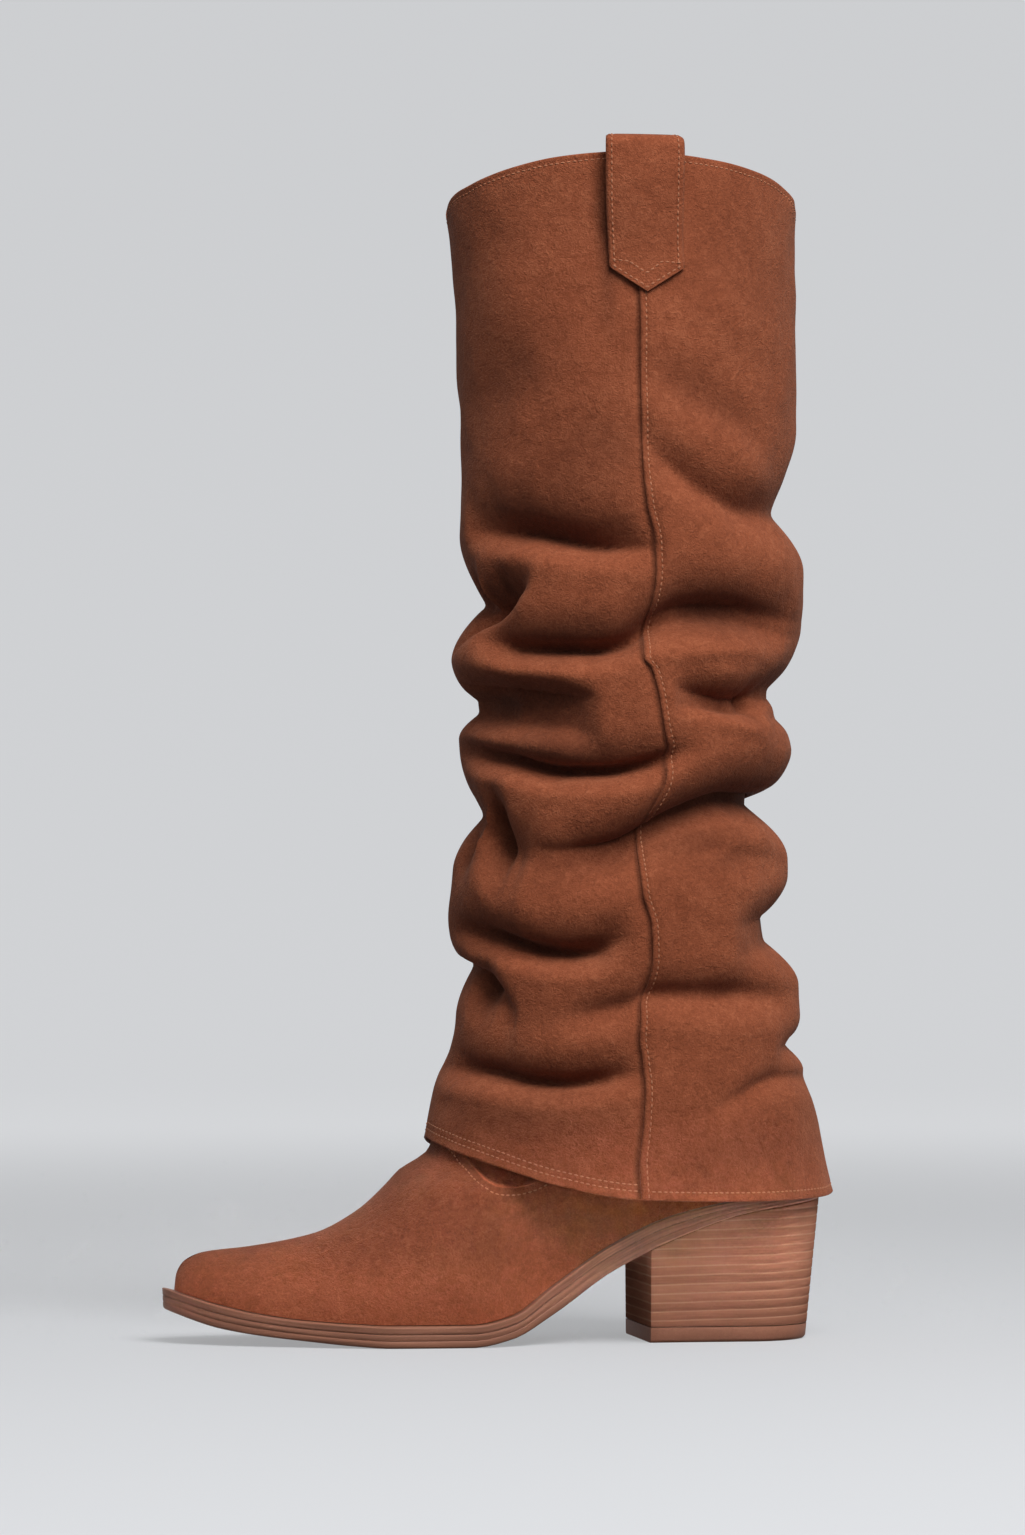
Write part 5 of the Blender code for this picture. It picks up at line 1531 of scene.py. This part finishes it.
def streak_finish(foot):
    """The sole's edge: burnished layers with streaks that run along it."""
    found = bpy.data.materials.get("burnished_edge")
    if found:
        return found
    made, wire, shader = new_finish("burnished_edge", 0.55, 0.22)
    stretched = wire.node("ShaderNodeMapping", Vector=wire.attribute("grain"), Scale=STREAK_STRETCH)
    streaks = wire.noise(stretched.outputs["Vector"], Scale=1.0, Detail=4)
    spread = wire.ranged(streaks, From_Min=0.3, From_Max=0.7)
    wire.link(wire.mixed(spread, *shades(foot.sole_edge, *STREAK_TONES)), shader["Base Color"])
    relief(wire, shader, streaks, *STREAK_RELIEF)
    return made


LAYER_WAVE = 0.0007       # metres by which the lines between layers wander
LAYER_STRETCH = (90, 90, 1500)
LAYER_TONES = (0.68, 1.3)  # the layers' colours against the heel's own
LAYER_SHARE = 0.35        # shares of the layer's own tone and of its fibres
LAYER_FIBRES = 0.9
LINE_AND_HIGHLIGHT_SHARE = 0.75         # how strongly the line between two layers shows, partly as a painted highlight


def stack_finish(foot):
    """The stacked heel: layers of different tone with a light line between them, partly a painted highlight
    on their edges.
    """
    found = bpy.data.materials.get("layered_heel")
    if found:
        return found
    made, wire, shader = new_finish("layered_heel", 0.6, 0.0)
    maths = wire.maths
    place = wire.place()
    split = wire.split(place)
    back = maths("SUBTRACT", split["X"], HEEL_BREAST_X * MM)
    level = maths("SUBTRACT", split["Z"], maths("MULTIPLY", back, math.tan(foot.layer_tilt)))
    wave = maths("SUBTRACT", wire.noise(place, Scale=40), 0.5)
    level = maths("ADD", level, maths("MULTIPLY", wave, LAYER_WAVE))
    base = (LIFT_Z + GAP) * MM + LAYER_START * foot.heel_layer
    count = maths("DIVIDE", maths("SUBTRACT", level, base), foot.heel_layer)
    number = maths("FLOOR", count)
    part = maths("SUBTRACT", count, number)
    near = maths("MINIMUM", part, maths("SUBTRACT", 1.0, part))
    line = wire.ranged(near, "SMOOTHSTEP", From_Min=0.15, From_Max=0.02)
    toned = wire.node("ShaderNodeTexWhiteNoise")
    toned.noise_dimensions = "1D"
    wire.link(number, toned.inputs["W"])
    stretched = wire.node("ShaderNodeMapping", Vector=place, Scale=LAYER_STRETCH)
    fibres = wire.noise(stretched.outputs["Vector"], Scale=1.0, Detail=4)
    tone = maths("MULTIPLY", toned.outputs["Value"], LAYER_SHARE)
    tone = maths("ADD", tone, maths("MULTIPLY", fibres, LAYER_FIBRES))
    body = wire.mixed(tone, *shades(foot.heel_edge, *LAYER_TONES))
    # the light lines between the layers, partly a painted highlight on their edges
    lined = wire.mixed(maths("MULTIPLY", line, LINE_AND_HIGHLIGHT_SHARE), body, (*foot.heel_line_and_highlight, 1))
    wire.link(lined, shader["Base Color"])
    relief(wire, shader, fibres, *STREAK_RELIEF)
    return made


class BootOperator:
    """What the boot's operators share."""
    bl_options = {"REGISTER"}

    def execute(self, context):
        self.build(context.scene)
        return {"FINISHED"}


class BOOT_OT_shaft(BootOperator, bpy.types.Operator):
    """Builds the gathered shaft and its lining"""
    bl_idname = "boot.shaft"
    bl_label = "Shaft"

    def build(self, scene):
        leather = scene.boot_leather
        make_shaft(scene.boot_shaft, suede_finish(leather), lining_finish(leather))


class BOOT_OT_upper(BootOperator, bpy.types.Operator):
    """Builds the upper with its scalloped vamp, its lining and its stitching"""
    bl_idname = "boot.upper"
    bl_label = "Upper"

    def build(self, scene):
        leather = scene.boot_leather
        suede, lining = suede_finish(leather), lining_finish(leather)
        face, normal = make_upper(scene.boot_foot, scene.boot_shaft, suede, lining)
        paths = vamp_stitching(face, normal)
        add_stitches("vamp_stitches", paths, scene.boot_stitch, thread_finish(leather))


class BOOT_OT_sole(BootOperator, bpy.types.Operator):
    """Builds the outsole, the welt and the insole"""
    bl_idname = "boot.sole"
    bl_label = "Sole"

    def build(self, scene):
        make_sole(scene.boot_foot, streak_finish(scene.boot_foot), lining_finish(scene.boot_leather))


class BOOT_OT_heel(BootOperator, bpy.types.Operator):
    """Builds the stacked heel and its lift"""
    bl_idname = "boot.heel"
    bl_label = "Heel"

    def build(self, scene):
        foot = scene.boot_foot
        rubber = plain_finish("heel_rubber", np.array(foot.heel_edge) * 0.95, 0.6, 700, 0.12, 0.0002)
        make_heel(foot, stack_finish(foot), rubber)


class BOOT_OT_straps(BootOperator, bpy.types.Operator):
    """Builds the two pull straps over the collar"""
    bl_idname = "boot.straps"
    bl_label = "Pull straps"

    def build(self, scene):
        suede = suede_finish(scene.boot_leather)
        for name, seam in STRAPS:
            make_strap(f"pull_strap_{name}_suede", f"pull_strap_{name}", seam, scene.boot_shaft, suede)


class BOOT_OT_stitching(BootOperator, bpy.types.Operator):
    """Sews the rows of stitches on the shaft and the straps"""
    bl_idname = "boot.stitching"
    bl_label = "Stitching"

    def build(self, scene):
        stitch, thread = scene.boot_stitch, thread_finish(scene.boot_leather)
        add_stitches("shaft_stitches", shaft_stitching(scene.boot_shaft), stitch, thread)
        add_stitches("strap_stitches", strap_stitching(scene.boot_shaft), stitch, thread)


FLOOR_RADIUS = 3.4        # metres
WALL_RADIUS = 4.4
WALL_HEIGHT = 3.2
FLOOR_RINGS = (0.02, 0.6, 1.2, 2.0, 2.8)
BEND_RINGS = 16
PAPER_SIDES = 96
STRIP_HEIGHT = 0.042      # the strip light aims at this height of the foot
PAPER_LIGHT = (0.965, 0.978, 1.0, 1)
AIR_COLOUR = (0.95, 0.97, 1.0, 1)
SENSOR_WIDTH = 36.0
CLIP = (0.05, 50.0)       # nearest and farthest that the camera sees
Lamp = namedtuple("Lamp", "name aim azimuth height reach size tall spread power")


def look_from(holder, target, azimuth, elevation, reach):
    """Stands a lamp or a camera at a reach from its target and turns it there."""
    flat = math.cos(elevation)
    away = Vector((math.sin(azimuth) * flat, -math.cos(azimuth) * flat, math.sin(elevation)))
    holder.location = target + away * reach
    holder.rotation_euler = (-away).to_track_quat("-Z", "Y").to_euler()


class BOOT_OT_stage(BootOperator, bpy.types.Operator):
    """Sets the floor, the lights and the camera"""
    bl_idname = "boot.stage"
    bl_label = "Studio"

    def build(self, scene):
        studio = scene.boot_studio
        self.paper(studio)
        self.lights(scene, studio)
        self.camera(scene, studio)
        scene.view_settings.view_transform = "Standard"
        scene.view_settings.look = "None"

    def paper(self, studio):
        """A pale floor that curves up into a wall all round."""
        bend = WALL_RADIUS - FLOOR_RADIUS
        profile = [(r, 0.0) for r in FLOOR_RINGS]
        for t in np.linspace(0, np.pi / 2, BEND_RINGS):
            profile.append((FLOOR_RADIUS + bend * math.sin(t), bend * (1 - math.cos(t))))
        profile.append((WALL_RADIUS, WALL_HEIGHT))
        around = np.linspace(0, 2 * np.pi, PAPER_SIDES, endpoint=False)
        flat = np.stack([np.cos(around), np.sin(around), np.zeros(PAPER_SIDES)], 1)
        loops = [r * flat + np.array([0, 0, z]) for r, z in profile]
        mesh = bpy.data.meshes.new("paper_sweep")
        faces = loop_faces(len(loops), PAPER_SIDES, False) + [tuple(range(PAPER_SIDES))]
        mesh.from_pydata(np.concatenate(loops).tolist(), [], faces)
        mesh.shade_smooth()
        made, wire, shader = new_finish("pale_paper", 0.9, 0.1)
        shader["Base Color"].default_value = (*studio.paper, 1)
        shader["Emission Color"].default_value = PAPER_LIGHT
        away = wire.node("ShaderNodeVectorMath")
        away.operation = "LENGTH"
        wire.link(wire.place(), away.inputs[0])
        glow = wire.ranged(
            away.outputs["Value"], "SMOOTHSTEP", From_Min=0.8, From_Max=2.6,
            To_Min=studio.glow, To_Max=studio.wall_glow)
        wire.link(glow, shader["Emission Strength"])
        mesh.materials.append(made)
        floor = place_object("paper_sweep", mesh)
        floor.visible_diffuse = False

    def lights(self, scene, studio):
        """Soft air that is brighter above, two broad lamps and a low strip in front of the foot."""
        world = bpy.data.worlds.new("studio_air")
        world.use_nodes = True
        wire = Wiring(world.node_tree)
        air = world.node_tree.nodes["Background"].inputs
        air["Color"].default_value = AIR_COLOUR
        up = wire.split(wire.place("Generated"))["Z"]
        grade = wire.ranged(up, From_Min=-0.5, From_Max=0.9, To_Min=studio.low_fill, To_Max=studio.fill)
        wire.link(grade, air["Strength"])
        scene.world = world
        target = Vector(studio.target)
        foot = Vector((target.x, 0, STRIP_HEIGHT))
        for lamp in (
            Lamp("key_light", target, 18, 47, 2.2, 1.5, 1.5, 180, studio.key_power),
            Lamp("front_light", target, -14, 36, 2.4, 1.4, 1.4, 180, studio.front_power),
            Lamp("foot_light", foot, -6, 4, 1.6, 0.44, 0.03, 3, studio.low_power),
        ):
            light = bpy.data.lights.new(lamp.name, "AREA")
            light.shape = "ELLIPSE" if lamp.size == lamp.tall else "RECTANGLE"
            light.size, light.size_y = lamp.size, lamp.tall
            light.spread = math.radians(lamp.spread)
            light.energy = lamp.power
            holder = place_object(lamp.name, light)
            holder.visible_camera = False
            look_from(holder, lamp.aim, math.radians(lamp.azimuth), math.radians(lamp.height), lamp.reach)

    def camera(self, scene, studio):
        lens = bpy.data.cameras.new("camera")
        lens.lens = studio.lens
        lens.sensor_width = SENSOR_WIDTH
        lens.clip_start, lens.clip_end = CLIP
        camera = place_object("camera", lens)
        look_from(camera, Vector(studio.target), studio.azimuth, studio.elevation, studio.distance)
        scene.camera = camera


STEPS = (BOOT_OT_stage, BOOT_OT_shaft, BOOT_OT_upper, BOOT_OT_sole, BOOT_OT_heel, BOOT_OT_straps,
         BOOT_OT_stitching)
SETTINGS = (("boot_leather", BootLeather), ("boot_shaft", BootShaft), ("boot_foot", BootFoot),
            ("boot_stitch", BootStitch), ("boot_studio", BootStudio))


class BOOT_PT_panel(bpy.types.Panel):
    """The boot's settings and its building steps"""
    bl_idname = "BOOT_PT_panel"
    bl_label = "Slouch Boot"
    bl_space_type = "VIEW_3D"
    bl_region_type = "UI"
    bl_category = "Boot"

    def draw(self, context):
        for name, group in SETTINGS:
            box = self.layout.box()
            settings = getattr(context.scene, name)
            for label in group.__annotations__:
                box.prop(settings, label)
        for step in STEPS:
            self.layout.operator(step.bl_idname)


CLASSES = tuple(group for _, group in SETTINGS) + STEPS + (BOOT_PT_panel,)


def register():
    for made in CLASSES:
        bpy.utils.register_class(made)
    for name, group in SETTINGS:
        setattr(bpy.types.Scene, name, bpy.props.PointerProperty(type=group))


def unregister():
    for name, _ in SETTINGS:
        delattr(bpy.types.Scene, name)
    for made in reversed(CLASSES):
        bpy.utils.unregister_class(made)


def main():
    register()
    for step in STEPS:
        group, name = step.bl_idname.split(".")
        getattr(getattr(bpy.ops, group), name)()


if __name__ == "__main__":
    main()
